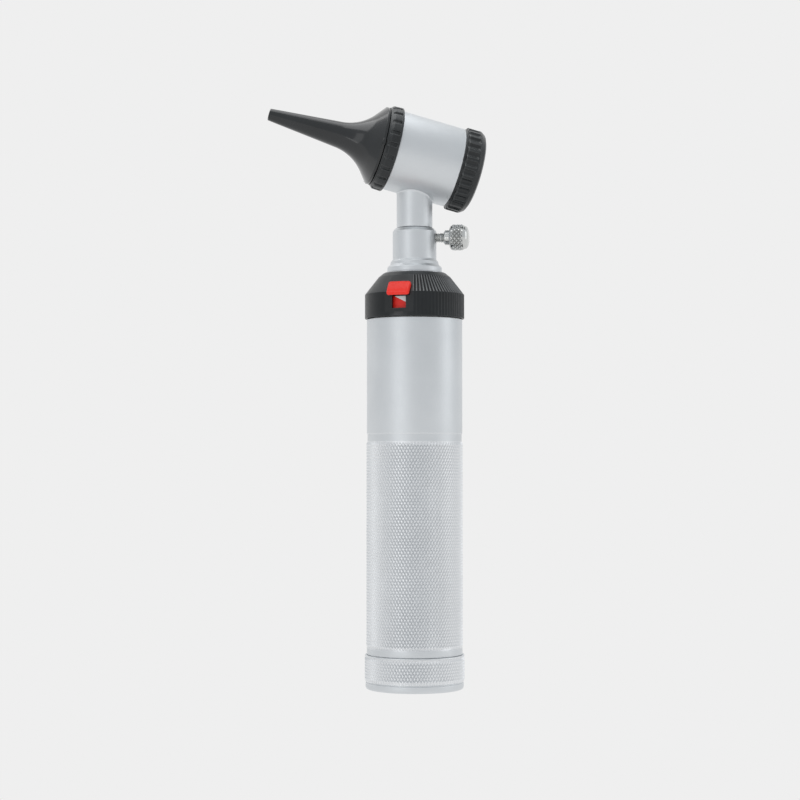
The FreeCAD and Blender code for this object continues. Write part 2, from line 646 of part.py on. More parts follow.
keep("thumb_screw", on_screw(turned("thumb_screw", [
    ("0", "Levels.screw_tip"),
    ("Sizes.screw_r", "Levels.screw_tip"),
    ("Sizes.screw_r", "Levels.shoulder_start - Sizes.screw_cone"),
    ("Sizes.shoulder_r", "Levels.shoulder_start"),
    ("Sizes.shoulder_r", "Levels.knob_start"),
    ("Sizes.knob_r - Sizes.knob_bevel", "Levels.knob_start"),
    ("Sizes.knob_r", "Levels.knob_start + Sizes.knob_bevel"),
    ("Sizes.knob_r", "Levels.knob_end"),
    ("Sizes.knob_r - Sizes.knob_bevel", "Levels.knob_end + Sizes.knob_bevel"),
    ("Sizes.knob_r * 0.55", "Levels.knob_end + Sizes.knob_dome"),
    ("0", "Levels.knob_end + Sizes.knob_dome"),
])))

# ---------------------------------------------------------------- neck and barrel

neck_blank = turned("neck_blank", [
    ("Levels.neck_bore_r", "Levels.neck_low"),
    ("Sizes.neck_spigot_r", "Levels.neck_low"),
    ("Sizes.neck_spigot_r", "Levels.neck_shoulder"),
    ("Levels.neck_r", "Levels.neck_shoulder"),
    ("Levels.neck_r", "Levels.head_height"),
    ("Levels.neck_bore_r", "Levels.head_height"),
])
saddle = on_head(primitive("Part::Cylinder", "saddle", {
    "Radius": "Sizes.barrel_r", "Height": "8 * Sizes.barrel_r",
}))
saddle.setExpression("Placement.Base.x", "-4 * Sizes.barrel_r * cos(Sizes.head_tilt * 1 deg)")
saddle.setExpression(
    "Placement.Base.z",
    "Levels.head_height + 4 * Sizes.barrel_r * sin(Sizes.head_tilt * 1 deg)",
)
keep("neck_tube", cut("neck_tube", neck_blank, saddle))

barrel_blank = on_head(turned("barrel_blank", [
    ("Levels.barrel_bore_r", "-Levels.front_thread_end"),
    ("Levels.barrel_thread_r", "-Levels.front_thread_end"),
    ("Levels.barrel_thread_r", "-Sizes.barrel_front"),
    ("Sizes.barrel_r", "-Sizes.barrel_front"),
    ("Sizes.barrel_r", "Sizes.barrel_back"),
    ("Levels.barrel_thread_r", "Sizes.barrel_back"),
    ("Levels.barrel_thread_r", "Levels.back_thread_end"),
    ("Levels.barrel_bore_r", "Levels.back_thread_end"),
]))
light_hole = primitive("Part::Cylinder", "light_hole", {
    "Radius": "Sizes.guide_hole_r", "Height": "Sizes.barrel_r * 1.2",
}, ("0", "0", "Levels.head_height - Sizes.barrel_r * 1.2"))
keep("barrel", cut("barrel", barrel_blank, light_hole))

# ---------------------------------------------------------------- lamp and light guide

keep("lamp_contact", stepped_pin("lamp_contact", [
    ("Sizes.lamp_nub_r", "Levels.lamp_low", "Levels.lamp_base_low"),
]))
keep("lamp_base", stepped_pin("lamp_base", [
    ("Levels.lamp_r", "Levels.lamp_base_low", "Levels.lamp_top"),
]))
bulb = new_body("lamp_bulb")
bulb_sketch = new_sketch(bulb, "bulb_profile")
BULB_SIDE = "(Levels.bulb_top - Sizes.bulb_r)"
bulb_sketch.addGeometry(Part.LineSegment(
    Vector(0, number("Levels.lamp_top"), 0),
    Vector(number("Sizes.bulb_r"), number("Levels.lamp_top"), 0)), False)
bulb_sketch.addGeometry(Part.LineSegment(
    Vector(number("Sizes.bulb_r"), number("Levels.lamp_top"), 0),
    Vector(number("Sizes.bulb_r"), number(BULB_SIDE), 0)), False)
bulb_sketch.addGeometry(Part.ArcOfCircle(
    Part.Circle(Vector(0, number(BULB_SIDE), 0), Vector(0, 0, 1), number("Sizes.bulb_r")),
    0, 1.5707963), False)
bulb_sketch.addGeometry(Part.LineSegment(
    Vector(0, number("Levels.bulb_top"), 0), Vector(0, number("Levels.lamp_top"), 0)), False)
for first, second in ((0, 1), (3, 0)):
    bulb_sketch.addConstraint(Sketcher.Constraint("Coincident", first, 2, second, 1))
bulb_sketch.addConstraint(Sketcher.Constraint("Coincident", 1, 2, 2, 1))
bulb_sketch.addConstraint(Sketcher.Constraint("Coincident", 2, 2, 3, 1))
bind_point(bulb_sketch, 0, 1, "0", "Levels.lamp_top")
bind_point(bulb_sketch, 1, 1, "Sizes.bulb_r", "Levels.lamp_top")
bind_point(bulb_sketch, 2, 1, "Sizes.bulb_r", BULB_SIDE)
bind_point(bulb_sketch, 2, 3, "0", BULB_SIDE)
bulb_sketch.addConstraint(Sketcher.Constraint("PointOnObject", 3, 1, -2))
revolve(bulb, bulb_sketch)
keep("lamp_bulb", bulb)

# The guide rises from the lamp through the barrel's floor and bends forward along it.
tilt = Rotation(Vector(0, 1, 0), number("Sizes.head_tilt"))
head_centre = Vector(0, 0, number("Levels.head_height"))
backward = tilt.multVec(Vector(1, 0, 0))
outward = tilt.multVec(Vector(0, 0, -1))
guide_offset = number("Levels.guide_offset")
corner_back = -guide_offset * outward.x / backward.x
corner = head_centre + backward * corner_back + outward * guide_offset
guide_start = Vector(0, 0, number("Levels.guide_low"))
guide_finish = corner - backward * (number("Levels.guide_end") + corner_back)
up = Vector(0, 0, 1)
ahead = backward * -1
bend_r = number("Sizes.guide_bend_r")
middle = (ahead - up).normalize()
bend_reach = bend_r * (ahead - up).Length / (ahead + up).Length
bend_start = corner - up * bend_reach
bend_end = corner + ahead * bend_reach
bend_middle = corner + middle * ((bend_r ** 2 + bend_reach ** 2) ** 0.5 - bend_r)
route = Part.Wire([
    Part.LineSegment(guide_start, bend_start).toShape(),
    Part.Arc(bend_start, bend_middle, bend_end).toShape(),
    Part.LineSegment(bend_end, guide_finish).toShape(),
])
guide_ring = Part.Wire([Part.makeCircle(number("Sizes.guide_r"), guide_start, up)])
light_guide = doc.addObject("Part::Feature", "light_guide")
light_guide.Shape = route.makePipeShell([guide_ring], True, False)
keep("light_guide", light_guide)

# ---------------------------------------------------------------- flared cones of the nose


# The flare's centre is as far from the slim cone as from the steep one. Every shifted outline
# shares it.
SLIM = "Sizes.tip_slope * 1 deg"
STEEP = "Sizes.flare_slope * 1 deg"
level("flare_centre_z", (
    "(Sizes.tip_r - base_r + Sizes.flare_r * (1 / cos({0}) - 1 / cos({1}))"
    " + tip_end * tan({0}) - base_end * tan({1})) / (tan({1}) - tan({0}))"
).format(SLIM, STEEP))
level("flare_centre_r", (
    "Sizes.tip_r + (flare_centre_z + tip_end) * tan({0}) + Sizes.flare_r / cos({0})"
).format(SLIM))
doc.recompute()


def flared_sketch(body, name, shift, tip_end, base_end):
    """A flared cone's outline: a slim cone, a tangent flare and a steep cone, closed on the axis.

    shift is how far inside the speculum's outer face it lies. The tip points to -Z of the body.
    """
    tip_r = (
        "(Sizes.tip_r - ({1}) / cos({0}) + (Levels.tip_end - ({2})) * tan({0}))"
    ).format(SLIM, shift, tip_end)
    base_r = (
        "(Levels.base_r - ({1}) / cos({0}) + (Levels.base_end - ({2})) * tan({0}))"
    ).format(STEEP, shift, base_end)
    flare_r = "(Sizes.flare_r + (%s))" % shift
    slim_z = "Levels.flare_centre_z + %s * sin(%s)" % (flare_r, SLIM)
    steep_z = "Levels.flare_centre_z + %s * sin(%s)" % (flare_r, STEEP)
    slim_r = "Levels.flare_centre_r - %s * cos(%s)" % (flare_r, SLIM)
    steep_r = "Levels.flare_centre_r - %s * cos(%s)" % (flare_r, STEEP)
    tip = Vector(number(tip_r), -number(tip_end), 0)
    slim = Vector(number(slim_r), number(slim_z), 0)
    steep = Vector(number(steep_r), number(steep_z), 0)
    base = Vector(number(base_r), -number(base_end), 0)
    centre = Vector(number("Levels.flare_centre_r"), number("Levels.flare_centre_z"), 0)
    ring = Part.Circle(centre, Vector(0, 0, 1), number(flare_r))
    sketch = new_sketch(body, name)
    sketch.addGeometry(Part.LineSegment(Vector(0, tip.y, 0), tip), False)
    sketch.addGeometry(Part.LineSegment(tip, slim), False)
    sketch.addGeometry(Part.ArcOfCircle(ring, ring.parameter(steep), ring.parameter(slim)), False)
    sketch.addGeometry(Part.LineSegment(steep, base), False)
    sketch.addGeometry(Part.LineSegment(base, Vector(0, base.y, 0)), False)
    sketch.addGeometry(Part.LineSegment(Vector(0, base.y, 0), Vector(0, tip.y, 0)), False)
    joins = [(0, 2, 1, 1), (1, 2, 2, 2), (3, 1, 2, 1), (3, 2, 4, 1), (4, 2, 5, 1), (5, 2, 0, 1)]
    for first, first_end, second, second_end in joins:
        sketch.addConstraint(
            Sketcher.Constraint("Coincident", first, first_end, second, second_end),
        )
    bind_point(sketch, 0, 1, "0", "-(%s)" % tip_end)
    bind_point(sketch, 1, 1, tip_r, "-(%s)" % tip_end)
    bind_point(sketch, 1, 2, slim_r, slim_z)
    bind_point(sketch, 3, 1, steep_r, steep_z)
    bind_point(sketch, 3, 2, base_r, "-(%s)" % base_end)
    bind_point(sketch, 4, 2, "0", "-(%s)" % base_end)
    size = sketch.addConstraint(Sketcher.Constraint("Radius", 2, number(flare_r)))
    sketch.setExpression("Constraints[%d]" % size, flare_r)
    return sketch


def flared_body(name, outer, inner, tip_end, base_end):
    """A thin flared cone between two shifts."""
    body = new_body(name)
    revolve(body, flared_sketch(body, name + "_outer", outer, tip_end, base_end))
    doc.recompute()
    solid = body.Shape.Volume
    longer = "(%s) + 0.5" % tip_end
    deeper = "(%s) - 0.5" % base_end
    hollow = flared_sketch(body, name + "_inner", inner, longer, deeper)
    revolve(body, hollow, "PartDesign::Groove")
    doc.recompute()
    if body.Shape.Volume >= solid:
        raise ValueError("the cone was not hollowed: " + name)
    return body


def add_ring(body, name, points):
    """Add a turned ring of material to a body."""
    return revolve(body, outline(new_sketch(body, name), points))


NOSE_OUT = "(Sizes.speculum_wall + Sizes.nose_gap)"
NOSE_IN = "(%s + Sizes.nose_wall)" % NOSE_OUT
FIBRE_IN = "(%s + Sizes.fibre_wall)" % NOSE_IN

speculum = flared_body("speculum", "0", "Sizes.speculum_wall", "Levels.tip_end", "Levels.base_end")
LIP_LOW = "-(Levels.base_end + Sizes.base_lip_lap)"
LIP_HIGH = "-(Levels.base_end - Sizes.base_lip)"
add_ring(speculum, "speculum_lip", tube_points(
    "Levels.base_r - Sizes.speculum_wall * 1.6", "Levels.base_r + Sizes.base_lip_proud",
    LIP_LOW, LIP_HIGH,
))
keep("speculum", on_head(speculum))

# The nosepiece's cone runs into a short collar that passes through the front ring's lip.
level("nose_collar_r", "front_lip_r - 3 * Sizes.fit_gap")
level("nose_collar_bore_r", "nose_collar_r - Sizes.nose_wall / cos(%s)" % STEEP)
level("nose_cone_end", (
    "base_end + (base_r - {1} / cos({0}) - nose_collar_r) / tan({0})"
).format(STEEP, NOSE_OUT))
level("nose_flange_back", "front_thread_end + Sizes.fit_gap")
level("skirt_r", "barrel_bore_r - Sizes.fit_gap")
doc.recompute()
nosepiece = flared_body("nosepiece", NOSE_OUT, NOSE_IN, "Levels.nose_tip", "Levels.nose_cone_end")
add_ring(nosepiece, "nose_flange", [
    ("Levels.nose_collar_bore_r + Sizes.nose_collar_step",
     "-(Levels.nose_cone_end + Sizes.nose_collar_step)"),
    ("Levels.nose_collar_r - Sizes.nose_collar_step",
     "-(Levels.nose_cone_end + Sizes.nose_collar_step)"),
    ("Levels.nose_collar_r", "-Levels.nose_cone_end"),
    ("Levels.nose_collar_r", "-Levels.nose_flange_end"),
    ("Levels.barrel_thread_r", "-Levels.nose_flange_end"),
    ("Levels.barrel_thread_r", "-Levels.nose_flange_back"),
    ("Levels.skirt_r", "-Levels.nose_flange_back"),
    ("Levels.skirt_r", "-(Levels.front_thread_end - Sizes.nose_skirt)"),
    ("Levels.skirt_r - Sizes.nose_skirt_wall", "-(Levels.front_thread_end - Sizes.nose_skirt)"),
    ("Levels.skirt_r - Sizes.nose_skirt_wall", "-Levels.nose_flange_back"),
    ("Levels.nose_collar_bore_r", "-Levels.nose_flange_back"),
    ("Levels.nose_collar_bore_r", "-Levels.nose_cone_end"),
])
keep("nosepiece", on_head(nosepiece))

keep("fibre_ring", on_head(flared_body(
    "fibre_ring", NOSE_IN, FIBRE_IN, "Levels.nose_tip", "Levels.base_end + Sizes.fibre_setback",
)))

# ---------------------------------------------------------------- front ring

front_ring = turned("front_ring", [
    ("Levels.ring_thread_r", "-(Sizes.barrel_front + Sizes.front_ring_seam)"),
    ("Levels.front_ring_r", "-(Sizes.barrel_front + Sizes.front_ring_seam)"),
    ("Levels.front_ring_r", "-Levels.front_ring_end"),
    ("Levels.front_lip_r", "-Levels.front_ring_end"),
    ("Levels.front_lip_r", "-(Levels.front_ring_end - Sizes.front_lip)"),
    ("Levels.ring_thread_r", "-(Levels.front_ring_end - Sizes.front_lip)"),
])
# Notches cut in from the front divide the ring's rim into lobes, and leave a lip behind them.
notch = outline(new_sketch(front_ring, "front_notch", "XY_Plane"), [
    ("Levels.front_ring_r - Sizes.notch_depth", "-Sizes.notch_width / 2"),
    ("Levels.front_ring_r + 1", "-Sizes.notch_width / 2"),
    ("Levels.front_ring_r + 1", "Sizes.notch_width / 2"),
    ("Levels.front_ring_r - Sizes.notch_depth", "Sizes.notch_width / 2"),
])
notch.setExpression("AttachmentOffset.Base.z", "-(Sizes.barrel_front + Sizes.notch_seat)")
doc.recompute()
full_ring = front_ring.Shape.Volume
notch_cut = front_ring.newObject("PartDesign::Pocket", "front_notch_cut")
notch_cut.Profile = notch
notch_cut.setExpression("Length", "Levels.front_ring_end")
doc.recompute()
if front_ring.Shape.Volume >= full_ring:
    raise ValueError("the notch cut nothing")
repeat_around(front_ring, notch_cut, "Sizes.notch_count")
keep("front_ring", on_head(front_ring))

# ---------------------------------------------------------------- eyepiece ring and lens

eyepiece = turned("eyepiece_ring", [
    ("Levels.ring_thread_r", "Levels.eye_start"),
    ("Levels.eye_r", "Levels.eye_start"),
    ("Levels.eye_r", "Levels.eye_end - Sizes.eye_bevel"),
    ("Levels.eye_r - Sizes.eye_bevel_step", "Levels.eye_end"),
    ("Levels.barrel_bore_r - Sizes.eye_lip_in", "Levels.eye_end"),
    ("Levels.barrel_bore_r - Sizes.eye_lip_in", "Levels.eye_end - Sizes.eye_lip"),
    ("Levels.ring_thread_r", "Levels.eye_end - Sizes.eye_lip"),
])
flute = circle_sketch(
    eyepiece, "eye_flute",
    ("Levels.eye_r + Sizes.flute_r - Sizes.flute_depth", "0"), "Sizes.flute_r",
)
flute.setExpression("AttachmentOffset.Base.z", "Levels.eye_start + Sizes.flute_length")
doc.recompute()
full_eyepiece = eyepiece.Shape.Volume
flute_cut = eyepiece.newObject("PartDesign::Pocket", "eye_flute_cut")
flute_cut.Profile = flute
flute_cut.setExpression("Length", "Sizes.flute_length + 1")
doc.recompute()
if eyepiece.Shape.Volume >= full_eyepiece:
    raise ValueError("the flute cut nothing")
repeat_around(eyepiece, flute_cut, "Sizes.flute_count")
keep("eyepiece_ring", on_head(eyepiece))

keep("lens_gasket", on_head(turned("lens_gasket", tube_points(
    "Levels.barrel_thread_r - Sizes.gasket_width", "Levels.barrel_thread_r",
    "Levels.gasket_low", "Levels.gasket_low + Sizes.gasket_thick",
))))
LENS_R = "(Levels.barrel_thread_r - Sizes.fit_gap)"
LENS_TOP = "(Levels.lens_low + Sizes.lens_edge)"
lens_disc = turned("lens_disc", [
    ("0", "Levels.lens_low"), (LENS_R, "Levels.lens_low"), (LENS_R, LENS_TOP), ("0", LENS_TOP),
])
CROWN_R = "(Levels.barrel_bore_r - Sizes.crown_inset)"
CROWN_SPHERE = "((%s ^ 2 + Sizes.lens_crown ^ 2) / (2 * Sizes.lens_crown))" % CROWN_R
crown_ball = primitive("Part::Sphere", "crown_ball", {"Radius": CROWN_SPHERE}, (
    "0", "0", "Levels.lens_low - Sizes.lens_crown + %s" % CROWN_SPHERE,
))
crown_room = primitive("Part::Cylinder", "crown_room", {
    "Radius": CROWN_R, "Height": "Sizes.lens_crown + 0.1",
}, ("0", "0", "Levels.lens_low - Sizes.lens_crown"))
crown = doc.addObject("Part::Common", "lens_crown_part")
crown.Base = crown_ball
crown.Tool = crown_room
lens = doc.addObject("Part::Fuse", "lens")
lens.Base = lens_disc
lens.Tool = crown
keep("lens", on_head(lens))

# ---------------------------------------------------------------- check and write

doc.recompute()
for item in doc.Objects:
    for word in ("Invalid", "Error"):
        if word in item.State:
            raise ValueError("%s is %s" % (item.Name, word))

os.makedirs("parts", exist_ok=True)
for node, item in nodes.items():
    shape = item.Shape
    if shape.isNull() or not shape.isValid():
        raise ValueError("bad shape: " + node)
    if len(shape.Solids) != 1:
        raise ValueError("%s has %d solids" % (node, len(shape.Solids)))
    shape.exportStep(os.path.join("parts", node + ".step"))
print(len(nodes), "pieces written")
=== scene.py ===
"""Looks of the otoscope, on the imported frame. Shapes are given in millimetres and stored in metres."""

import json
import math

import bmesh
import bpy
from mathutils import Matrix, Vector


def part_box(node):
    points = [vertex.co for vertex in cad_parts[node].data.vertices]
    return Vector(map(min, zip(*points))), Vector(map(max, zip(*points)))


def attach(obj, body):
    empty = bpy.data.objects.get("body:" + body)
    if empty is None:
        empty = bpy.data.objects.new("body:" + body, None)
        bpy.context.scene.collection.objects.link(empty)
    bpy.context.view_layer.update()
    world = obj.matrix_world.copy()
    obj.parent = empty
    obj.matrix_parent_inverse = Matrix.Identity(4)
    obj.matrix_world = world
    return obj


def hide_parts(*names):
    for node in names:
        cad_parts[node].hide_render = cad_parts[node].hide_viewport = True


MM = 0.001
TAU = 2 * math.pi

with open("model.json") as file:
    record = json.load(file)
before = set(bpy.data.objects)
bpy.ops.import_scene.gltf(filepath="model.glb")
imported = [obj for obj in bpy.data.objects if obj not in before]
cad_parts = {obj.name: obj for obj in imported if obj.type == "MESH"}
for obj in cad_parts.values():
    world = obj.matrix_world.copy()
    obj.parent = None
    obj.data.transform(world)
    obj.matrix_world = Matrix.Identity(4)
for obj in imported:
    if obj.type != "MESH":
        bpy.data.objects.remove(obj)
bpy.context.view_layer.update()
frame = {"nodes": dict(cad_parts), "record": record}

# ---------------------------------------------------------------- places from the frame

JOINTS = {joint["name"]: joint for joint in frame["record"]["behaviour"]["joints"]}


def low(node):
    """Lowest corner of a node's box, in millimetres."""
    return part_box(node)[0] / MM


def high(node):
    """Highest corner of a node's box, in millimetres."""
    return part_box(node)[1] / MM


TUBE_TOP = high("handle_tube").z
CAP_TOP = high("end_cap").z
CAP_R = high("end_cap").y
TUBE_R = high("handle_tube").y - 0.1
RING_LOW = low("dimmer_ring").z
RING_TOP = high("dimmer_ring").z
COLLAR_TOP = high("handle_collar").z
NECK_LOW = low("neck_tube").z
HUB_TOP = high("switch_base").z
BARREL_R = 12.1
TAIL_PITCH = 1.25
RING_PITCH = 0.75
CLAMP_PITCH = 0.5

# the head's own frame: its centre is where the neck meets the barrel's axis, +Z is towards the eye
HEAD_AT = Vector(JOINTS["front_ring_turn"]["pos_m"])
BACK = -Vector(JOINTS["front_ring_turn"]["axis"]).normalized()
SIDE = Vector((0, 1, 0))
HEAD = Matrix.Translation(HEAD_AT) @ Matrix((SIDE.cross(BACK), SIDE, BACK)).transposed().to_4x4()

# the clamp screw's frame: +Z points out of the collar
SCREW_OUT = Vector(JOINTS["clamp_turn"]["axis"]).normalized()
SCREW_AT = Vector((0, 0, JOINTS["clamp_turn"]["pos_m"][2]))
SCREW = Matrix.Translation(SCREW_AT) @ SCREW_OUT.to_track_quat("Z", "Y").to_matrix().to_4x4()
UPRIGHT = Matrix.Identity(4)

# the button's frame on the ring's cone: +Z points out, +X runs down the slope, +Y runs around
CONE_LOW = RING_TOP - 6.45
CONE_TOP = RING_TOP - 1.2
CONE_TOP_R = CAP_R - 4.1
BUTTON_AZ = math.atan2(-JOINTS["button_press"]["axis"][1], -JOINTS["button_press"]["axis"][0])
CONE_LEAN = math.atan2(CONE_TOP - CONE_LOW, CAP_R - CONE_TOP_R)
BUTTON_RISE = 0.9
BUTTON_R = CAP_R - BUTTON_RISE * (CAP_R - CONE_TOP_R) / (CONE_TOP - CONE_LOW)
BUTTON = (Matrix.Rotation(BUTTON_AZ, 4, "Z")
          @ Matrix.Translation(Vector((BUTTON_R, 0, CONE_LOW + BUTTON_RISE)) * MM)
          @ Matrix.Rotation(CONE_LEAN, 4, "Y"))
BUTTON_HALF = (2.25, 3.45)
STEM_AT = -0.95
WINDOW_TOP = CONE_LOW - 1.09
WINDOW_TALL = 3.8
WINDOW_HALF = 2.2

# ---------------------------------------------------------------- mesh tools


def place(bm, name, matrix, materials, sharp=30.0):
    """Turn a bmesh in millimetres into an object in metres, smooth but for its sharp edges."""
    bmesh.ops.remove_doubles(bm, verts=bm.verts, dist=1e-5)
    bmesh.ops.recalc_face_normals(bm, faces=bm.faces)
    bmesh.ops.transform(bm, matrix=matrix @ Matrix.Scale(MM, 4), verts=bm.verts)
    mesh = bpy.data.meshes.new(name)
    bm.to_mesh(mesh)
    bm.free()
    for face in mesh.polygons:
        face.use_smooth = True
    mesh.set_sharp_from_angle(angle=math.radians(sharp))
    for material in materials:
        mesh.materials.append(material)
    piece = bpy.data.objects.new(name, mesh)
    bpy.context.collection.objects.link(piece)
    return piece


def rounded(corners, steps=4):
    """A closed profile of (r, z) points, with an arc at each corner that gives a radius."""
    points = []
    count = len(corners)
    for index, corner in enumerate(corners):
        here = Vector(corner[:2])
        size = corner[2] if len(corner) > 2 else 0.0
        before = Vector(corners[index - 1][:2]) - here
        after = Vector(corners[(index + 1) % count][:2]) - here
        angle = before.angle(after, 0.0)
        if not size or angle < 0.01:
            points.append((here.x, here.y))
            continue
        reach = min(size / math.tan(angle / 2), before.length * 0.49, after.length * 0.49)
        start = here + before.normalized() * reach
        end = here + after.normalized() * reach
        for step in range(steps + 1):
            t = step / steps
            first = start.lerp(here, t)
            second = here.lerp(end, t)
            spot = first.lerp(second, t)
            points.append((spot.x, spot.y))
    return points


def ring_of(bm, radius, height, segments, shape=None):
    """One row of vertices around the axis, or a single one on it."""
    if radius < 1e-6:
        return [bm.verts.new((0, 0, height))] * segments
    row = []
    for index in range(segments):
        angle = TAU * index / segments
        r, z = shape(angle, radius, height) if shape else (radius, height)
        row.append(bm.verts.new((r * math.cos(angle), r * math.sin(angle), z)))
    return row


def bridge(bm, lower, upper):
    """Faces between two rows of vertices."""
    count = len(lower)
    for index in range(count):
        after = (index + 1) % count
        corners = []
        for vert in (lower[index], lower[after], upper[after], upper[index]):
            if vert not in corners:
                corners.append(vert)
        if len(corners) > 2:
            bm.faces.new(corners)


def lathe(bm, profile, segments=128, shape=None, closed=True):
    """Spin a profile of (r, z) points. shape(angle, r, z) may move each point in r and z."""
    rows = [ring_of(bm, r, z, segments, shape) for r, z in profile]
    for index in range(len(rows) - (0 if closed else 1)):
        bridge(bm, rows[index], rows[(index + 1) % len(rows)])
    return rows


def knurl(bm, radius, depth, z_low, z_high, around, tall, flat=0.42):
    """A band of diamonds between two plain rows. Returns its first and last rows of vertices."""
    columns = 2 * around
    count = 2 * max(1, round((z_high - z_low) / tall))
    root = radius - depth
    rise = (z_high - z_low) / count

    def spot(column, row, r):
        angle = TAU * column / columns
        return bm.verts.new((r * math.cos(angle), r * math.sin(angle), z_low + row * rise))

    grid = {}
    for row in range(count + 1):
        for column in range(columns):
            edge = row in (0, count)
            if edge or (column + row) % 2:
                grid[column, row] = spot(column, row, root)
    for row in range(1, count):
        for column in range(columns):
            if (column + row) % 2:
                continue
            corners = [
                grid[column, row - 1], grid[(column + 1) % columns, row],
                grid[column, row + 1], grid[(column - 1) % columns, row],
            ]
            tops = [
                spot(column, row - flat, radius), spot(column + flat, row, radius),
                spot(column, row + flat, radius), spot(column - flat, row, radius),
            ]
            bm.faces.new(tops)
            for side in range(4):
                other = (side + 1) % 4
                bm.faces.new((corners[side], corners[other], tops[other], tops[side]))
    for row, inner in ((0, 1), (count, count - 1)):
        for column in range(columns):
            if (column + row) % 2 == 0:
                left = grid[(column - 1) % columns, row]
                right = grid[(column + 1) % columns, row]
                peak = grid[column, inner]
                bm.faces.new((left, grid[column, row], peak))
                bm.faces.new((grid[column, row], right, peak))
    return [grid[c, 0] for c in range(columns)], [grid[c, count] for c in range(columns)]


def cut_with(piece, *tools):
    """Take other objects out of a piece, for good."""
    for tool in tools:
        step = piece.modifiers.new("cut", "BOOLEAN")
        step.object = tool
        step.operation = "DIFFERENCE"
        step.solver = "EXACT"
    graph = bpy.context.evaluated_depsgraph_get()
    mesh = bpy.data.meshes.new_from_object(piece.evaluated_get(graph))
    piece.modifiers.clear()
    old = piece.data
    piece.data = mesh
    bpy.data.meshes.remove(old)
    for tool in tools:
        bpy.data.objects.remove(tool)


def settle(piece, body, slot, *nodes):
    """Attach a piece to the body it moves with and hide the nodes it stands for; slot, the finish's name,
    is not used.
    """
    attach(piece, body)
    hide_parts(*nodes)


# ---------------------------------------------------------------- materials


class Finish:
    """A node material under construction."""

    def __init__(self, name):
        self.material = bpy.data.materials.new(name)
        self.material.use_nodes = True
        self.tree = self.material.node_tree
        self.shader = self.tree.nodes["Principled BSDF"]
        self.place = self.node("ShaderNodeTexCoord").outputs["Object"]

    def node(self, kind, **values):
        """Add a node, and set its inputs or its own properties by name."""
        made = self.tree.nodes.new(kind)
        for key, value in values.items():
            if key in made.inputs:
                made.inputs[key].default_value = value
            else:
                setattr(made, key, value)
        return made

    def link(self, source, target):
        """Join an output to an input."""
        self.tree.links.new(source, target)

    def set(self, **values):
        """Set plain inputs of the shader, with _ for a space in a name."""
        for key, value in values.items():
            self.shader.inputs[key.replace("_", " ")].default_value = value

    def noise(self, scale, detail=4.0, stretch=(1, 1, 1), rough=0.55):
        """Noise in the object's own space. A larger stretch makes it finer along that axis."""
        mapping = self.node("ShaderNodeMapping", Scale=stretch)
        self.link(self.place, mapping.inputs["Vector"])
        made = self.node("ShaderNodeTexNoise", Scale=scale, Detail=detail, Roughness=rough)
        self.link(mapping.outputs["Vector"], made.inputs["Vector"])
        return made.outputs["Fac"]

    def spread(self, source, low_value, high_value, start=0.3, end=0.7):
        """Map a value that runs from start to end onto low_value to high_value."""
        made = self.node("ShaderNodeMapRange")
        made.inputs["From Min"].default_value = start
        made.inputs["From Max"].default_value = end
        made.inputs["To Min"].default_value = low_value
        made.inputs["To Max"].default_value = high_value
        self.link(source, made.inputs["Value"])
        return made.outputs["Result"]

    def colour(self, source, first, second):
        """A base colour between two colours, by a value."""
        made = self.tree.nodes.new("ShaderNodeMix")
        made.data_type = "RGBA"
        made.inputs[6].default_value = (*first, 1)
        made.inputs[7].default_value = (*second, 1)
        self.link(source, made.inputs[0])
        self.link(made.outputs[2], self.shader.inputs["Base Color"])

    def roughness(self, source, low_value, high_value):
        """A roughness between two numbers, by a value."""
        self.link(self.spread(source, low_value, high_value), self.shader.inputs["Roughness"])

    def bump(self, source, strength, distance):
        """Bumps from a height value, on top of any set before."""
        made = self.node("ShaderNodeBump", Strength=strength, Distance=distance)
        self.link(source, made.inputs["Height"])
        if self.shader.inputs["Normal"].links:
            self.link(self.shader.inputs["Normal"].links[0].from_socket, made.inputs["Normal"])
        self.link(made.outputs["Normal"], self.shader.inputs["Normal"])

    def edge_wear_and_highlight(self, radius=0.0004):
        """0 on flats, towards 1 on convex edges: how far a bevelled normal leaves the true one. It lightens
        edges as rubbed wear and as a painted highlight.
        """
        bevel = self.node("ShaderNodeBevel", samples=4)
        bevel.inputs["Radius"].default_value = radius
        true = self.node("ShaderNodeNewGeometry")
        dot = self.node("ShaderNodeVectorMath", operation="DOT_PRODUCT")
        self.link(bevel.outputs["Normal"], dot.inputs[0])
        self.link(true.outputs["Normal"], dot.inputs[1])
        return self.spread(dot.outputs["Value"], 1.0, 0.0, 0.9, 1.0)


def satin_metal(name, first, second, rough, grain=1.0, lines=(1, 1, 1)):
    """Blasted and anodised or plated metal: fine grain, faint clouds, a little roughness variation."""
    made = Finish(name)
    made.set(Metallic=1.0)
    clouds = made.noise(60, 3)
    made.colour(made.spread(clouds, 0, 1), first, second)
    fine = made.noise(2600, 3, lines)
    made.roughness(fine, rough - 0.05, rough + 0.06)
    made.bump(made.noise(7000, 2, lines), 0.10 * grain, 0.00003)
    made.bump(made.noise(900, 3), 0.05 * grain, 0.00006)
    return made


def moulded(name, first, second, rough, grain=1.0, coat=0.0, scale=5200):
    """Moulded plastic with a fine texture."""
    made = Finish(name)
    made.colour(made.spread(made.noise(90, 4), 0, 1), first, second)
    made.roughness(made.noise(1400, 4), rough - 0.06, rough + 0.07)
    made.bump(made.noise(scale, 3), 0.12 * grain, 0.00004)
    made.set(Coat_Weight=coat)
    made.set(Specular_IOR_Level=0.34)
    made.set(Coat_Roughness=0.12)
    return made


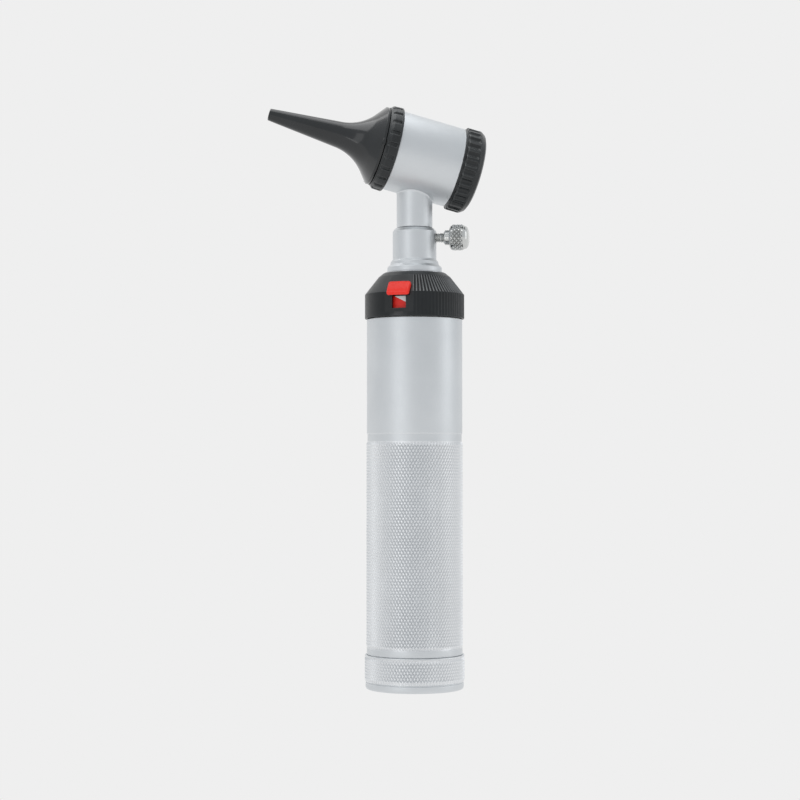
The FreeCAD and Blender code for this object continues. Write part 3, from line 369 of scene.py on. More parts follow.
ALUMINIUM = satin_metal("satin_aluminium", (0.66, 0.685, 0.705), (0.71, 0.735, 0.755), 0.46)
KNURLED = satin_metal("knurled_aluminium", (0.71, 0.73, 0.75), (0.79, 0.81, 0.83), 0.38)
NICKEL = satin_metal("bright_nickel", (0.60, 0.61, 0.60), (0.68, 0.69, 0.68), 0.20, 0.6)
STEEL = satin_metal("spring_steel", (0.52, 0.53, 0.55), (0.62, 0.63, 0.64), 0.26, 0.8, (1, 1, 6))
CELL_TIP = satin_metal("nickel_steel", (0.70, 0.70, 0.68), (0.80, 0.79, 0.76), 0.24, 0.7)
BRASS = satin_metal("brass", (0.78, 0.60, 0.30), (0.86, 0.68, 0.38), 0.25, 0.7)
BLACK_MATTE = moulded("black_matte", (0.007, 0.009, 0.010), (0.012, 0.015, 0.017), 0.36)
# a much lighter black: painted highlight for the ring's rib crests and the slopes that face the light
BLACK_LIT_RIB = moulded("black_painted_lit_rib", (0.125, 0.131, 0.134), (0.185, 0.192, 0.196), 0.32)
BLACK_FLUTED = moulded("black_fluted", (0.016, 0.018, 0.019), (0.026, 0.029, 0.031), 0.28)
# a darker black: painted shade between the ring's ribs
BLACK_SHADED_GROOVE = moulded("black_painted_groove_shade", (0.004, 0.005, 0.006), (0.007, 0.008, 0.009), 0.50)
BLACK_GLOSS = moulded("black_gloss", (0.008, 0.010, 0.011), (0.014, 0.016, 0.018), 0.17, 0.25, 0.5)
RED = moulded("red_button", (0.86, 0.022, 0.012), (0.93, 0.034, 0.020), 0.38, 0.8)
RED_BAND = moulded("red_wedge", (0.80, 0.018, 0.010), (0.88, 0.026, 0.016), 0.42, 0.6)
WHITE = moulded("white_band", (0.78, 0.80, 0.80), (0.86, 0.88, 0.88), 0.45, 0.6)
INSULATOR = moulded("insulator", (0.030, 0.028, 0.027), (0.055, 0.050, 0.047), 0.52)
CASE = moulded("cell_case", (0.030, 0.075, 0.130), (0.045, 0.100, 0.170), 0.33, 0.5, 0.2)
TRACK = moulded("carbon_track", (0.020, 0.020, 0.022), (0.045, 0.045, 0.047), 0.60)
RUBBER = moulded("seal_rubber", (0.018, 0.018, 0.018), (0.036, 0.036, 0.036), 0.70, 1.6)

GLASS = Finish("clear_glass")
GLASS.set(Base_Color=(0.96, 0.98, 0.98, 1), IOR=1.5, Transmission_Weight=1.0)
GLASS.link(GLASS.spread(GLASS.noise(500, 4), 0.005, 0.04), GLASS.shader.inputs["Roughness"])
GLASS.bump(GLASS.noise(220, 2), 0.02, 0.00002)

FIBRE = Finish("light_fibre")
FIBRE.colour(FIBRE.spread(FIBRE.noise(9000, 2), 0, 1), (0.72, 0.78, 0.74), (0.92, 0.95, 0.90))
FIBRE.roughness(FIBRE.noise(3000, 3), 0.15, 0.30)
FIBRE.bump(FIBRE.noise(9000, 2), 0.15, 0.00003)
FIBRE.set(Transmission_Weight=0.35, IOR=1.5)


def tinted(finish, amount, colour):
    """Mix a colour over a finish's base colour, by an amount from its nodes."""
    mix = finish.tree.nodes.new("ShaderNodeMix")
    mix.data_type = "RGBA"
    finish.link(finish.shader.inputs["Base Color"].links[0].from_socket, mix.inputs[6])
    mix.inputs[7].default_value = (*colour, 1)
    finish.link(amount, mix.inputs[0])
    finish.link(mix.outputs[2], finish.shader.inputs["Base Color"])


def scaled(finish, source, factor):
    """A node value times a number."""
    made = finish.node("ShaderNodeMath", operation="MULTIPLY")
    finish.link(source, made.inputs[0])
    made.inputs[1].default_value = factor
    return made.outputs[0]


def dust_and_top_light(finish, strength, colour):
    """Fine dust and painted top light on faces that look up, thicker in some places than in others."""
    true = finish.node("ShaderNodeNewGeometry")
    split = finish.node("ShaderNodeSeparateXYZ")
    finish.link(true.outputs["Normal"], split.inputs[0])
    upward = finish.spread(split.outputs["Z"], 0.0, 1.0, 0.15, 0.75)
    patchy = finish.spread(finish.noise(350, 5), 0.7, 1.0)
    both = finish.node("ShaderNodeMath", operation="MULTIPLY")
    finish.link(upward, both.inputs[0])
    finish.link(patchy, both.inputs[1])
    tinted(finish, scaled(finish, both.outputs[0], strength), colour)


def shaded_grooves(finish, reach, strength, colour):
    """Painted shade in cuts and corners, found from how closed in a point is."""
    closed = finish.node("ShaderNodeAmbientOcclusion", samples=6)
    closed.inputs["Distance"].default_value = reach
    amount = finish.spread(closed.outputs["AO"], 1.0, 0.0, 0.35, 0.95)
    tinted(finish, scaled(finish, amount, strength), colour)


# painted highlights on edges, partly rubbed wear; dust and painted top light on faces that look up; painted
# shade in grooves; on one finish each goes over the last
tinted(ALUMINIUM, scaled(ALUMINIUM, ALUMINIUM.edge_wear_and_highlight(), 0.7), (0.93, 0.94, 0.95))
tinted(KNURLED, scaled(KNURLED, KNURLED.edge_wear_and_highlight(), 0.75), (0.93, 0.94, 0.95))
tinted(BLACK_MATTE, scaled(BLACK_MATTE, BLACK_MATTE.edge_wear_and_highlight(0.00025), 0.5), (0.085, 0.090, 0.092))
dust_and_top_light(BLACK_MATTE, 0.7, (0.050, 0.054, 0.056))
tinted(BLACK_FLUTED, scaled(BLACK_FLUTED, BLACK_FLUTED.edge_wear_and_highlight(0.0003), 0.5), (0.15, 0.158, 0.162))
dust_and_top_light(BLACK_FLUTED, 0.8, (0.085, 0.090, 0.092))
shaded_grooves(BLACK_FLUTED, 0.0006, 0.6, (0.008, 0.009, 0.010))
shaded_grooves(BLACK_MATTE, 0.0006, 0.75, (0.006, 0.007, 0.008))
dust_and_top_light(BLACK_GLOSS, 0.10, (0.050, 0.052, 0.054))
shaded_grooves(NICKEL, 0.0007, 0.5, (0.20, 0.20, 0.20))
shaded_grooves(KNURLED, 0.0004, 0.30, (0.26, 0.27, 0.28))
tinted(RED, scaled(RED, RED.edge_wear_and_highlight(0.0003), 0.5), (0.95, 0.12, 0.09))

NODE_FINISH = {
    "lower_cell": CASE, "upper_cell": CASE, "lower_cell_cap": CELL_TIP, "upper_cell_cap": CELL_TIP,
    "switch_base": INSULATOR, "battery_contact": BRASS, "contact_spring": STEEL,
    "contact_insulator": INSULATOR, "contact_pin": BRASS, "rheostat_track": TRACK,
    "indicator_band": WHITE, "indicator_wedge": RED_BAND, "ring_washer": STEEL, "ring_wiper": BRASS,
    "button_spring": STEEL, "pressure_pad": BRASS, "tail_spring": STEEL, "tail_contact_plate": BRASS,
    "lamp_base": CELL_TIP, "lamp_bulb": GLASS, "lamp_contact": BRASS, "light_guide": FIBRE,
    "nosepiece": BLACK_GLOSS, "fibre_ring": FIBRE, "lens_gasket": RUBBER,
}
for node, finish in NODE_FINISH.items():
    carried = frame["nodes"][node]
    while len(carried.material_slots) < 1:
        carried.data.materials.append(None)
    for holder in carried.material_slots:
        holder.material = finish.material

AL = [ALUMINIUM.material]

# ---------------------------------------------------------------- handle


def thread_shape(low_z, high_z, pitch, depth):
    """A right-hand thread between two heights, faded out at its ends."""
    def shape(angle, r, z):
        if not low_z <= z <= high_z:
            return r, z
        phase = (z / pitch - angle / TAU) % 1.0
        fade = min(1.0, (z - low_z) / pitch, (high_z - z) / pitch)
        wave = min(1.0, 2.4 * abs(phase - 0.5))
        return r - depth * fade * wave, z
    return shape


def thread_rows(r, start, end, pitch, per_turn=6):
    """Profile points along a threaded stretch."""
    count = max(2, round(abs(end - start) / pitch * per_turn))
    return [(r, start + (end - start) * step / count) for step in range(count + 1)]


KNURL_DEPTH = 0.24
KNURL_TALL = 1.8


def grip_tube():
    """The battery tube: thread, knurled grip, groove band and smooth top."""
    around = 92
    columns = 2 * around
    bore = TUBE_R - 1.0
    root = TUBE_R - 0.45
    foot = low("handle_tube").z
    groove_top = TUBE_TOP - 34.5
    groove_low = groove_top - 2.4
    band_low = CAP_TOP + 0.1
    band_top = band_low + 2.0
    bm = bmesh.new()
    lower = rounded([
        (bore, foot + 0.3), (bore + 0.25, foot), (root - 0.35, foot),
        *thread_rows(root, foot + 0.35, band_low - 0.15, TAIL_PITCH),
        (root - 0.05, band_low), (TUBE_R, band_low, 0.18), (TUBE_R, band_top, 0.1),
        (TUBE_R - 0.12, band_top),
    ])
    shape = thread_shape(foot + 0.35, band_low - 0.15, TAIL_PITCH, 0.32)
    low_rows = lathe(bm, lower, columns, shape, closed=False)
    first, last = knurl(bm, TUBE_R + 0.1, KNURL_DEPTH, band_top + 0.05, groove_low - 0.05, around,
                        KNURL_TALL)
    upper = rounded([
        (TUBE_R - 0.14, groove_low), (TUBE_R - 0.2, groove_low + 0.05), (TUBE_R - 0.2, groove_top, 0.05),
        (TUBE_R, groove_top, 0.16), (TUBE_R, TUBE_TOP, 0.25), (bore, TUBE_TOP, 0.2),
        (bore, groove_low),
    ])
    high_rows = lathe(bm, upper, columns, closed=False)
    bridge(bm, low_rows[-1], first)
    bridge(bm, last, high_rows[0])
    bridge(bm, high_rows[-1], low_rows[0])
    piece = place(bm, "grip_tube", UPRIGHT, [ALUMINIUM.material, KNURLED.material], 24)
    for face in piece.data.polygons:
        spot = face.center
        reach = math.hypot(spot.x, spot.y) / MM
        if band_top < spot.z / MM < groove_low and reach > TUBE_R - 0.3:
            face.material_index = 1
    settle(piece, "handle", "satin_aluminium", "handle_tube")


def screw_cap():
    """The knurled end cap that the otoscope stands on."""
    around = 95
    columns = 2 * around
    foot = low("end_cap").z
    knurl_low = foot + 2.5
    knurl_high = CAP_TOP - 0.55
    bore = CAP_R - 0.97
    bm = bmesh.new()
    lower = rounded([
        (0, foot), (CAP_R - 0.25, foot, 2.3), (CAP_R - 0.25, foot + 1.95, 0.15),
        (CAP_R - 0.5, foot + 2.12, 0.1), (CAP_R - 0.5, foot + 2.3, 0.05), (CAP_R - 0.2, foot + 2.45),
    ], 7)
    low_rows = lathe(bm, lower, columns, closed=False)
    first, last = knurl(bm, CAP_R, KNURL_DEPTH, knurl_low, knurl_high, around, KNURL_TALL)
    upper = rounded([
        (CAP_R - 0.22, knurl_high + 0.05), (CAP_R - 0.02, knurl_high + 0.15, 0.08),
        (CAP_R - 0.02, CAP_TOP, 0.3), (bore, CAP_TOP, 0.2), (bore, foot + 2.0, 0.1), (0, foot + 2.0),
    ])
    high_rows = lathe(bm, upper, columns, closed=False)
    bridge(bm, low_rows[-1], first)
    bridge(bm, last, high_rows[0])
    piece = place(bm, "screw_cap", UPRIGHT, [ALUMINIUM.material, KNURLED.material], 24)
    for face in piece.data.polygons:
        spot = face.center
        if knurl_low < spot.z / MM < knurl_high and math.hypot(spot.x, spot.y) / MM > CAP_R - 0.4:
            face.material_index = 1
    settle(piece, "cap", "satin_aluminium", "end_cap")


# the ring's flat panel spans this angle each way from the button, above a small ledge; RIBS is the
# number a whole turn would hold, each RIB_STEPS steps wide, and the ribbing covers RIB_TURN of it
PANEL_HALF = math.radians(17.4)
LEDGE = RING_LOW + 1.3
RIBS = 88
RIB_STEPS = 6
RIB_STEP = TAU / (RIBS * RIB_STEPS)
RIB_START = RIB_STEP * round((BUTTON_AZ + PANEL_HALF) / RIB_STEP)
RIB_TURN = math.radians(271.6)
CONE_RIB = 0.30
SKIRT_RIB = 0.09


def rib_depth(angle):
    """How deep the ring's ribbing is cut at an angle, from 0 on a rib's crest to 1 between ribs."""
    along = (angle - RIB_START) % TAU
    if along > RIB_TURN:
        return 0.0
    return 0.0 if round(along / RIB_STEP) % RIB_STEPS < 2 else 1.0


def ring_shape(angle, r, z):
    """The dimmer ring's outside: a flat panel by the window, and ribs over most of the rest."""
    outside = r > CONE_TOP_R - 0.05 and (z < CONE_LOW + 0.6 or r > CONE_TOP_R + 0.02)
    if not outside or r < CAP_R - 1.5 and z < CONE_LOW:
        return r, z
    away = (angle - BUTTON_AZ + math.pi) % TAU - math.pi
    if abs(away) < PANEL_HALF and z > LEDGE:
        return r * math.cos(PANEL_HALF) / math.cos(away), z
    top_fade = 1.0 if z < CONE_TOP - 0.1 else 0.0
    low_fade = 0.35 if z < RING_LOW + 0.15 else 1.0
    deep = CONE_RIB if z > CONE_LOW + 0.05 else SKIRT_RIB
    return r - deep * top_fade * low_fade * rib_depth(angle), z


def rounded_outline(half_x, half_y, corner, steps=6):
    """Points round a rectangle with rounded corners."""
    points = []
    for quarter, (sx, sy) in enumerate(((1, 1), (-1, 1), (-1, -1), (1, -1))):
        for step in range(steps + 1):
            angle = math.pi / 2 * (quarter + step / steps)
            points.append((
                sx * (half_x - corner) + corner * math.cos(angle),
                sy * (half_y - corner) + corner * math.sin(angle),
            ))
    return points


def round_outline(radius, steps=6, shift=0.0):
    """Points round a circle, moved along x by shift."""
    return [(x + shift, y) for x, y in rounded_outline(radius, radius, radius, steps)]


def prism(points, low_z, high_z, matrix):
    """A closed prism on an outline, as a cutting tool."""
    bm = bmesh.new()
    floor = [bm.verts.new((x, y, low_z)) for x, y in points]
    roof = [bm.verts.new((x, y, high_z)) for x, y in points]
    bridge(bm, floor, roof)
    bm.faces.new(floor)
    bm.faces.new(roof)
    return place(bm, "tool", matrix, [])


def dimmer():
    """The dimmer ring: ribbed cone and skirt, with the window, the button's seat and its spring well."""
    segments = RIBS * RIB_STEPS
    wall = CAP_R - 1.6
    ceiling = RING_LOW + 5.6
    slot = wall - 1.4
    profile = rounded([
        (CAP_R, RING_LOW, 0.15), (CAP_R, LEDGE), (CAP_R, LEDGE + 0.2), (CAP_R, CONE_LOW - 0.4),
        (CAP_R, CONE_LOW, 0.12),
        ((CAP_R * 3 + CONE_TOP_R) / 4, (CONE_LOW * 3 + CONE_TOP) / 4),
        ((CAP_R + CONE_TOP_R) / 2, (CONE_LOW + CONE_TOP) / 2),
        ((CAP_R + CONE_TOP_R * 3) / 4, (CONE_LOW + CONE_TOP * 3) / 4),
        (CONE_TOP_R, CONE_TOP, 0.25), (CONE_TOP_R - 1.45, RING_TOP, 0.2), (7.96, RING_TOP, 0.1),
        (7.96, ceiling), (slot, ceiling), (slot, WINDOW_TOP + 0.1), (wall, WINDOW_TOP + 0.1),
        (wall, RING_LOW, 0.1),
    ])
    bm = bmesh.new()
    lathe(bm, profile, segments, ring_shape)
    blacks = [BLACK_MATTE.material, BLACK_LIT_RIB.material, BLACK_SHADED_GROOVE.material]
    # rib crests and the slopes beside them that face the light get a painted highlight finish, the faces
    # between ribs a painted shade finish
    lit_rib_slot, deep = 1, 2
    for face in bm.faces:
        spot = face.calc_center_median()
        along = (math.atan2(spot.y, spot.x) - RIB_START) % TAU
        outside = math.hypot(spot.x, spot.y) > CONE_TOP_R - 0.5
        if outside and CONE_LOW + 0.1 < spot.z < CONE_TOP - 0.1 and along < RIB_TURN:
            crest = int(along / RIB_STEP) % RIB_STEPS in (0, RIB_STEPS - 1)
            face.material_index = lit_rib_slot if crest else deep
    piece = place(bm, "ribbed_ring", UPRIGHT, blacks, 28)
    through = 1.6
    in_wall = Matrix.Rotation(BUTTON_AZ, 4, "Z") @ Matrix.Translation((0.0142, 0, 0))
    window = prism([(-through, -WINDOW_HALF), (through, -WINDOW_HALF),
                    (through, WINDOW_HALF), (-through, WINDOW_HALF)],
                   WINDOW_TOP - WINDOW_TALL, WINDOW_TOP, in_wall)
    gap = 0.12
    clear = 3.0
    seat = prism(rounded_outline(BUTTON_HALF[0] + gap, BUTTON_HALF[1] + gap, 0.8), -1.3, clear, BUTTON)
    well = prism(round_outline(1.2, 10, STEM_AT), -2.3, clear, BUTTON)
    guide = prism(round_outline(0.75, 10, STEM_AT), -3.9, clear, BUTTON)
    cut_with(piece, window, seat, well, guide)
    piece.data.set_sharp_from_angle(angle=math.radians(28))
    settle(piece, "dimmer", "black_matte", "dimmer_ring")


def release_button():
    """A plate with a raised rim and fine ribs, whose lower half bends down over the ring's edge."""
    bm = bmesh.new()
    half_x, half_y = BUTTON_HALF
    full = rounded_outline(half_x, half_y, 0.6)
    steps = [(0.0, -0.4), (0.0, 0.45), (0.05, 0.66), (0.16, 0.81), (0.30, 0.89), (0.42, 0.89), (0.50, 0.84),
             (0.60, 0.80)]
    steps += [(0.60 + 0.16 * index, 0.80) for index in range(1, 9)]
    rows = []
    for inset, height in steps:
        points = rounded_outline(half_x - inset, half_y - inset, max(0.06, 0.6 - inset * 0.7))
        row = []
        for index, here in enumerate(points):
            follow = (index + 1) % len(points)
            after = points[follow]
            count = max(1, round(math.dist(full[index], full[follow]) / 0.11))
            for step in range(count):
                x = here[0] + (after[0] - here[0]) * step / count
                y = here[1] + (after[1] - here[1]) * step / count
                lift = 0.0
                if height > 0:
                    ribbed = 0.028 * math.cos(TAU * y / 0.5) if inset > 0.6 else 0.0
                    lift = ribbed - 0.008 * y * y - 0.10 * max(0.0, x + 0.1) ** 2
                row.append(bm.verts.new((x, y, height + lift)))
        rows.append(row)
    for index in range(len(rows) - 1):
        bridge(bm, rows[index], rows[index + 1])
    bm.faces.new(rows[-1])
    bm.faces.new(rows[0])
    stem = [ring_of(bm, radius, height, 24) for radius, height in ((0.6, -0.4), (0.6, -2.85), (0.45, -3.0))]
    for ring in stem:
        for vert in ring:
            vert.co.x += STEM_AT
    bridge(bm, stem[0], stem[1])
    bridge(bm, stem[1], stem[2])
    bm.faces.new(stem[0])
    bm.faces.new(stem[2])
    piece = place(bm, "release_button", BUTTON, [RED.material], 40)
    settle(piece, "button", "red_button", "lock_button")


def collar():
    """The flanged socket on top of the handle, with the clamp screw's hole through its side."""
    foot = low("handle_collar").z
    bottom = HUB_TOP
    profile = rounded([
        (6.0, foot, 0.3), (6.0, bottom), (8.14, bottom, 0.1), (8.24, bottom + 0.35, 0.1),
        (8.24, bottom + 1.6, 0.45), (7.35, bottom + 2.45, 0.3), (7.15, bottom + 3.35, 0.2),
        (6.75, bottom + 3.8, 0.25), (6.6, bottom + 4.15, 0.3),
        (6.6, COLLAR_TOP - 1.0, 0.15), (5.75, COLLAR_TOP, 0.2), (4.25, COLLAR_TOP, 0.1),
        (4.25, bottom + 3.0), (3.2, bottom + 3.0), (3.2, foot),
    ])
    bm = bmesh.new()
    lathe(bm, profile, 160)
    piece = place(bm, "collar_socket", UPRIGHT, AL, 30)
    hole = prism(round_outline(1.55, 12), 3.0, 9.0, SCREW)
    sink = bmesh.new()
    lathe(sink, [(0, 6.05), (1.55, 6.05), (2.15, 7.2), (0, 7.2)], 48, closed=False)
    cut_with(piece, hole, place(sink, "tool", SCREW, []))
    piece.data.set_sharp_from_angle(angle=math.radians(30))
    settle(piece, "handle", "satin_aluminium", "handle_collar")


def clamp_screw():
    """The thumb screw: threaded shank, shoulder and knurled knob with a domed end."""
    around = 17
    columns = 2 * around
    bm = bmesh.new()
    start = 4.75
    thread_start = start + 0.3
    thread_end = 8.4
    lower = rounded([
        (0, start), (1.15, start), (1.3, start + 0.2),
        *thread_rows(1.475, thread_start, thread_end, CLAMP_PITCH, 8),
        (1.3, 8.5), (1.45, 8.75, 0.1), (2.25, 9.35, 0.25), (2.25, 10.75, 0.15), (2.6, 10.9),
        (3.35, 10.92, 0.1), (3.66, 11.3),
    ])
    shape = thread_shape(thread_start, thread_end, CLAMP_PITCH, 0.27)
    low_rows = lathe(bm, lower, columns, shape, closed=False)
    first, last = knurl(bm, 3.9, 0.40, 11.35, 14.95, around, 1.4, 0.32)
    upper = rounded([
        (3.66, 15.0), (3.5, 15.3, 0.15), (3.42, 15.7, 0.3), (2.9, 16.2, 0.5), (1.9, 16.5, 0.6), (0, 16.5),
    ])
    high_rows = lathe(bm, upper, columns, closed=False)
    bridge(bm, low_rows[-1], first)
    bridge(bm, last, high_rows[0])
    piece = place(bm, "clamp_knob", SCREW, [NICKEL.material], 26)
    settle(piece, "clamp_screw", "bright_nickel", "thumb_screw")


# ---------------------------------------------------------------- head


def saddle_height(x, y, radius):
    """Height where an upright line meets the underside of a cylinder about the barrel's axis."""
    height = HEAD_AT.z / MM
    return height - (math.sqrt(radius ** 2 - y ** 2) - BACK.z * x) / BACK.x


def neck():
    """The stem, whose top follows the underside of the barrel."""
    outer = 5.4
    shoulder = COLLAR_TOP + 0.15
    top = HEAD_AT.z / MM
    # rows from top to top + 3 only stand for places this far below the barrel's skin
    drops = {round(top + step, 6): drop for step, drop in enumerate((0.55, 0.28, 0.10, -0.35))}

    def shape(angle, r, z):
        if z < top - 1e-6:
            return r, z
        drop = drops[round(z, 6)]
        return r, saddle_height(r * math.cos(angle), r * math.sin(angle), BARREL_R) - drop

    outline = rounded([(3.5, NECK_LOW, 0.1), (4.2, NECK_LOW, 0.3), (4.2, shoulder), (outer, shoulder, 0.25),
                       (outer, shoulder + 3.0)])
    outline += [(outer, top), (outer + 0.04, top + 1), (outer + 0.16, top + 2),
                (outer + 0.12, top + 3), (3.5, top + 3)]
    bm = bmesh.new()
    lathe(bm, outline, 160, shape)
    piece = place(bm, "neck_stem", UPRIGHT, AL, 32)
    settle(piece, "head", "satin_aluminium", "neck_tube")


def head_barrel():
    """The sloping tube, with a thread at each end for its rings."""
    front = -7.24
    back = 12.54
    profile = rounded([
        (10.4, front - 2.36, 0.1), (11.1, front - 2.36),
        *thread_rows(11.4, front - 2.16, front - 0.2, RING_PITCH),
        (11.3, front), (BARREL_R, front, 0.3), (BARREL_R, back, 0.3), (11.3, back),
        *thread_rows(11.4, back + 0.2, back + 2.86, RING_PITCH),
        (11.1, back + 3.06), (10.4, back + 3.06, 0.1),
    ])
    ahead_thread = thread_shape(front - 2.16, front - 0.2, RING_PITCH, 0.22)
    behind_thread = thread_shape(back + 0.2, back + 2.86, RING_PITCH, 0.22)

    def shape(angle, r, z):
        if r < 11.35:
            return r, z
        if z < front:
            return ahead_thread(angle, r, z)
        return behind_thread(angle, r, z) if z > back else (r, z)

    bm = bmesh.new()
    lathe(bm, profile, 192, shape)
    piece = place(bm, "head_barrel", HEAD, AL, 32)
    guide_hole = prism(round_outline(1.6, 10), -20.0, 0.0, Matrix.Translation(HEAD_AT))
    cut_with(piece, guide_hole)
    piece.data.set_sharp_from_angle(angle=math.radians(32))
    settle(piece, "head", "satin_aluminium", "barrel")


def smooth_step(value):
    """0 to 1 with level ends."""
    value = max(0.0, min(1.0, value))
    return value * value * (3 - 2 * value)


def castle_ring():
    """The front ring, with square notches and a tapered front edge."""
    front = -11.2
    back = -7.3
    outer = 12.9
    notches = 21
    deep = 0.48
    half_floor = 0.42
    slope = 0.30

    def shape(angle, r, z):
        if r < 12.2 or z > back - 0.6:
            return r, z
        pitch = TAU / notches
        off = abs((angle + pitch / 2) % pitch - pitch / 2) * outer
        return r - deep * (1.0 - smooth_step((off - half_floor) / slope)), z

    profile = rounded([
        (10.3, front, 0.08), (12.0, front, 0.15), (12.15, front + 0.5, 0.2),
        (outer - 0.1, front + 1.15, 0.35), (outer, back - 0.72), (outer, back - 0.62),
        (outer + 0.02, back - 0.55, 0.08), (outer + 0.02, back, 0.15), (11.45, back, 0.1),
        (11.45, front + 0.6), (10.3, front + 0.6),
    ])
    bm = bmesh.new()
    lathe(bm, profile, notches * 18, shape)
    piece = place(bm, "castle_ring", HEAD, [BLACK_FLUTED.material], 28)
    settle(piece, "nose_ring", "black_matte", "front_ring")


def eye_ring():
    """The eyepiece ring, with shallow flutes that run out before its back edge."""
    front = 13.36
    back = 19.2
    outer = 12.8
    flutes = 28
    flute_end = front + 3.75
    run_out = 0.95
    half_wide = 0.98
    deep = 0.62

    def shape(angle, r, z):
        if r < 12.0 or z > flute_end:
            return r, z
        pitch = TAU / flutes
        off = abs((angle + pitch / 2) % pitch - pitch / 2) * outer
        across = max(0.0, 1.0 - (off / half_wide) ** 2)
        near_end = max(0.0, 1.0 - (flute_end - z) / run_out)
        along = math.sqrt(max(0.0, 1.0 - near_end ** 2))
        return r - deep * across * along, z

    rows = [(outer, front + 0.25 + 0.5 * step) for step in range(6)]
    rows += [(outer, flute_end - run_out + 0.119 * step) for step in range(9)]
    profile = rounded([
        (11.45, front - 0.72, 0.1), (11.95, front - 0.72, 0.1), (11.95, front), (outer - 0.2, front),
        *rows, (outer, back - 1.75, 0.4), (outer - 0.75, back - 0.55, 0.9), (outer - 1.9, back, 0.5),
        (9.6, back, 0.2), (9.6, back - 1.0), (11.45, back - 1.0),
    ], 6)
    bm = bmesh.new()
    lathe(bm, profile, flutes * 14, shape)
    piece = place(bm, "fluted_ring", HEAD, [BLACK_FLUTED.material], 28)
    settle(piece, "eye_ring", "black_matte", "eyepiece_ring")


def funnel_curve(offset):
    """The speculum's outline from tip to base as (r, z), moved inwards by offset."""
    tip = Vector((-45.8, 1.81))
    base = Vector((-12.3, 11.8))
    slim = math.radians(5.63)
    steep = math.radians(50.0)
    bend = 14.0
    first = Vector((math.cos(slim), math.sin(slim)))
    second = Vector((math.cos(steep), math.sin(steep)))
    lift = Vector((-first.y, first.x)) * bend
    lean = Vector((-second.y, second.x)) * bend
    gap = (base + lean) - (tip + lift)
    reach = (gap.x * second.y - gap.y * second.x) / (first.x * second.y - first.y * second.x)
    centre = tip + lift + first * reach
    points = [tip.lerp(centre - lift, step / 8) for step in range(8)]
    points = [spot - Vector((-first.y, first.x)) * offset for spot in points]
    for step in range(29):
        angle = slim + (steep - slim) * step / 28
        points.append(centre - Vector((-math.sin(angle), math.cos(angle))) * (bend + offset))
    points.append(base - Vector((-second.y, second.x)) * offset)
    return [(spot.y, spot.x) for spot in points]


def ear_speculum():
    """The ear funnel, hollow, with three small lugs on its rim."""
    lip = 11.95
    end = -11.45
    lugs = 3
    first_lug = 0.6
    lug_half = 0.8
    lug_slope = 0.25
    lug_rise = 0.55
    outer = funnel_curve(0.0)
    inner = funnel_curve(0.5)
    outer[0] = (outer[0][0] - 0.12, outer[0][1])
    tip = [(outer[1][0] * 0.02 + outer[0][0] * 0.98 + 0.10, outer[0][1] + 0.12)]
    rim = [(11.85, -12.28, 0.05), (lip, -12.2, 0.12), (lip, end, 0.12), (lip - 0.95, end, 0.1),
           (lip - 0.95, -12.05)]
    inside = [point for point in reversed(inner) if point[0] < lip - 0.98]
    profile = rounded([outer[0]] + tip + outer[1:-1] + rim + inside)

    def shape(angle, r, z):
        if r > lip - 0.2 and z > -12.25:
            pitch = TAU / lugs
            off = abs((angle - first_lug + pitch / 2) % pitch - pitch / 2) * lip
            return r + lug_rise * (1.0 - smooth_step((off - lug_half) / lug_slope)), z
        return r, z

    bm = bmesh.new()
    lathe(bm, profile, 144, shape)
    piece = place(bm, "ear_funnel", HEAD, [BLACK_GLOSS.material], 35)
    settle(piece, "ear_funnel", "black_gloss", "speculum")


def magnifier():
    """The domed lens behind the eyepiece ring."""
    flat = 16.3
    edge = 11.35
    crown = 9.8
    sag = 1.2
    sphere = (crown ** 2 + sag ** 2) / (2 * sag)
    arc = []
    for step in range(17):
        r = crown * step / 16
        arc.append((r, flat - sag + sphere - math.sqrt(sphere ** 2 - r ** 2)))
    profile = rounded([*arc, (edge, flat, 0.15), (edge, flat + 1.7, 0.15), (0, flat + 1.7)])
    bm = bmesh.new()
    lathe(bm, profile, 128, closed=False)
    piece = place(bm, "magnifier", HEAD, [GLASS.material], 25)
    settle(piece, "lens_pack", "clear_glass", "lens")


for make in (grip_tube, screw_cap, dimmer, release_button, collar, clamp_screw, neck, head_barrel,
             castle_ring, eye_ring, ear_speculum, magnifier):
    make()

# ---------------------------------------------------------------- stage, light and camera


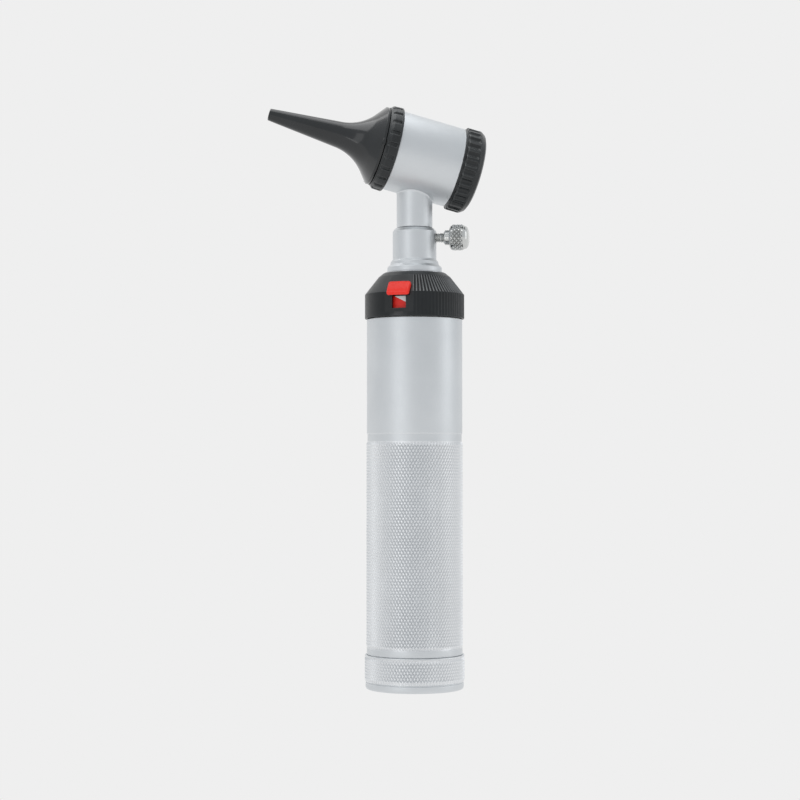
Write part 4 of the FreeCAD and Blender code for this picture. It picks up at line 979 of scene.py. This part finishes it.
def backdrop():
    """A pale floor that curves up into a wall, seamless."""
    near = -1.6
    turn_at = 1.0
    bend = 0.6
    half_wide = 3.0
    wall_top = 3.0
    level = 0.863
    steps = 12
    bm = bmesh.new()
    rows = []
    path = [(near, 0.0), (turn_at, 0.0)]
    for step in range(1, steps + 1):
        angle = step * math.pi / (2 * steps)
        path.append((turn_at + bend * math.sin(angle), bend - bend * math.cos(angle)))
    path.append((turn_at + bend, wall_top))
    for depth, height in path:
        rows.append([bm.verts.new((x, depth, height)) for x in (-half_wide, half_wide)])
    for index in range(len(rows) - 1):
        bm.faces.new((rows[index][0], rows[index][1], rows[index + 1][1], rows[index + 1][0]))
    mesh = bpy.data.meshes.new("backdrop")
    bm.to_mesh(mesh)
    bm.free()
    floor = bpy.data.objects.new("backdrop", mesh)
    bpy.context.collection.objects.link(floor)
    paper = bpy.data.materials.new("paper")
    paper.use_nodes = True
    tree = paper.node_tree
    tree.nodes.clear()
    glow = tree.nodes.new("ShaderNodeEmission")
    glow.inputs["Color"].default_value = (level, level, level, 1)
    out = tree.nodes.new("ShaderNodeOutputMaterial")
    tree.links.new(glow.outputs[0], out.inputs["Surface"])
    mesh.materials.append(paper)


LIGHT_TARGET = 0.09
LIGHT_SPREAD = math.radians(160)


def soft_light(name, at, size, power, tall=None):
    """A square or rectangular lamp aimed at the middle of the otoscope."""
    lamp = bpy.data.lights.new(name, "AREA")
    lamp.energy = power
    lamp.shape = "RECTANGLE"
    lamp.size = size
    lamp.size_y = tall or size
    lamp.spread = LIGHT_SPREAD
    holder = bpy.data.objects.new(name, lamp)
    holder.location = at
    holder.rotation_mode = "QUATERNION"
    holder.rotation_quaternion = (Vector((0, 0, LIGHT_TARGET)) - Vector(at)).to_track_quat("-Z", "Y")
    bpy.context.collection.objects.link(holder)


backdrop()
soft_light("key", (-0.78, -0.66, 0.35), 0.35, 0.60, 1.1)
soft_light("fill", (0.95, -0.30, 0.25), 0.35, 0.8, 1.1)
soft_light("top", (-0.15, 0.05, 0.95), 0.8, 2.4)
soft_light("strip", (-0.55, -0.62, 0.02), 0.50, 0.11, 0.05)

world = bpy.data.worlds.new("studio")
world.use_nodes = True
world.node_tree.nodes["Background"].inputs["Color"].default_value = (0.80, 0.82, 0.84, 1)
world.node_tree.nodes["Background"].inputs["Strength"].default_value = 0.80
scene = bpy.context.scene
scene.world = world
scene.view_settings.view_transform = "Standard"
scene.view_settings.look = "None"

lens = bpy.data.cameras.new("camera")
lens.lens = 86.5
lens.sensor_width = 36.0
camera = bpy.data.objects.new("camera", lens)
away = 0.58
height = 0.0689
turn = math.radians(-11.9)
pitch = math.radians(90 + 1.76)
pan = math.radians(0.435)
camera.location = (away * math.sin(turn), -away * math.cos(turn), height)
camera.rotation_euler = (pitch, 0, turn + pan)
bpy.context.collection.objects.link(camera)
scene.camera = camera
lens.clip_start = 0.01
lens.clip_end = 20.0
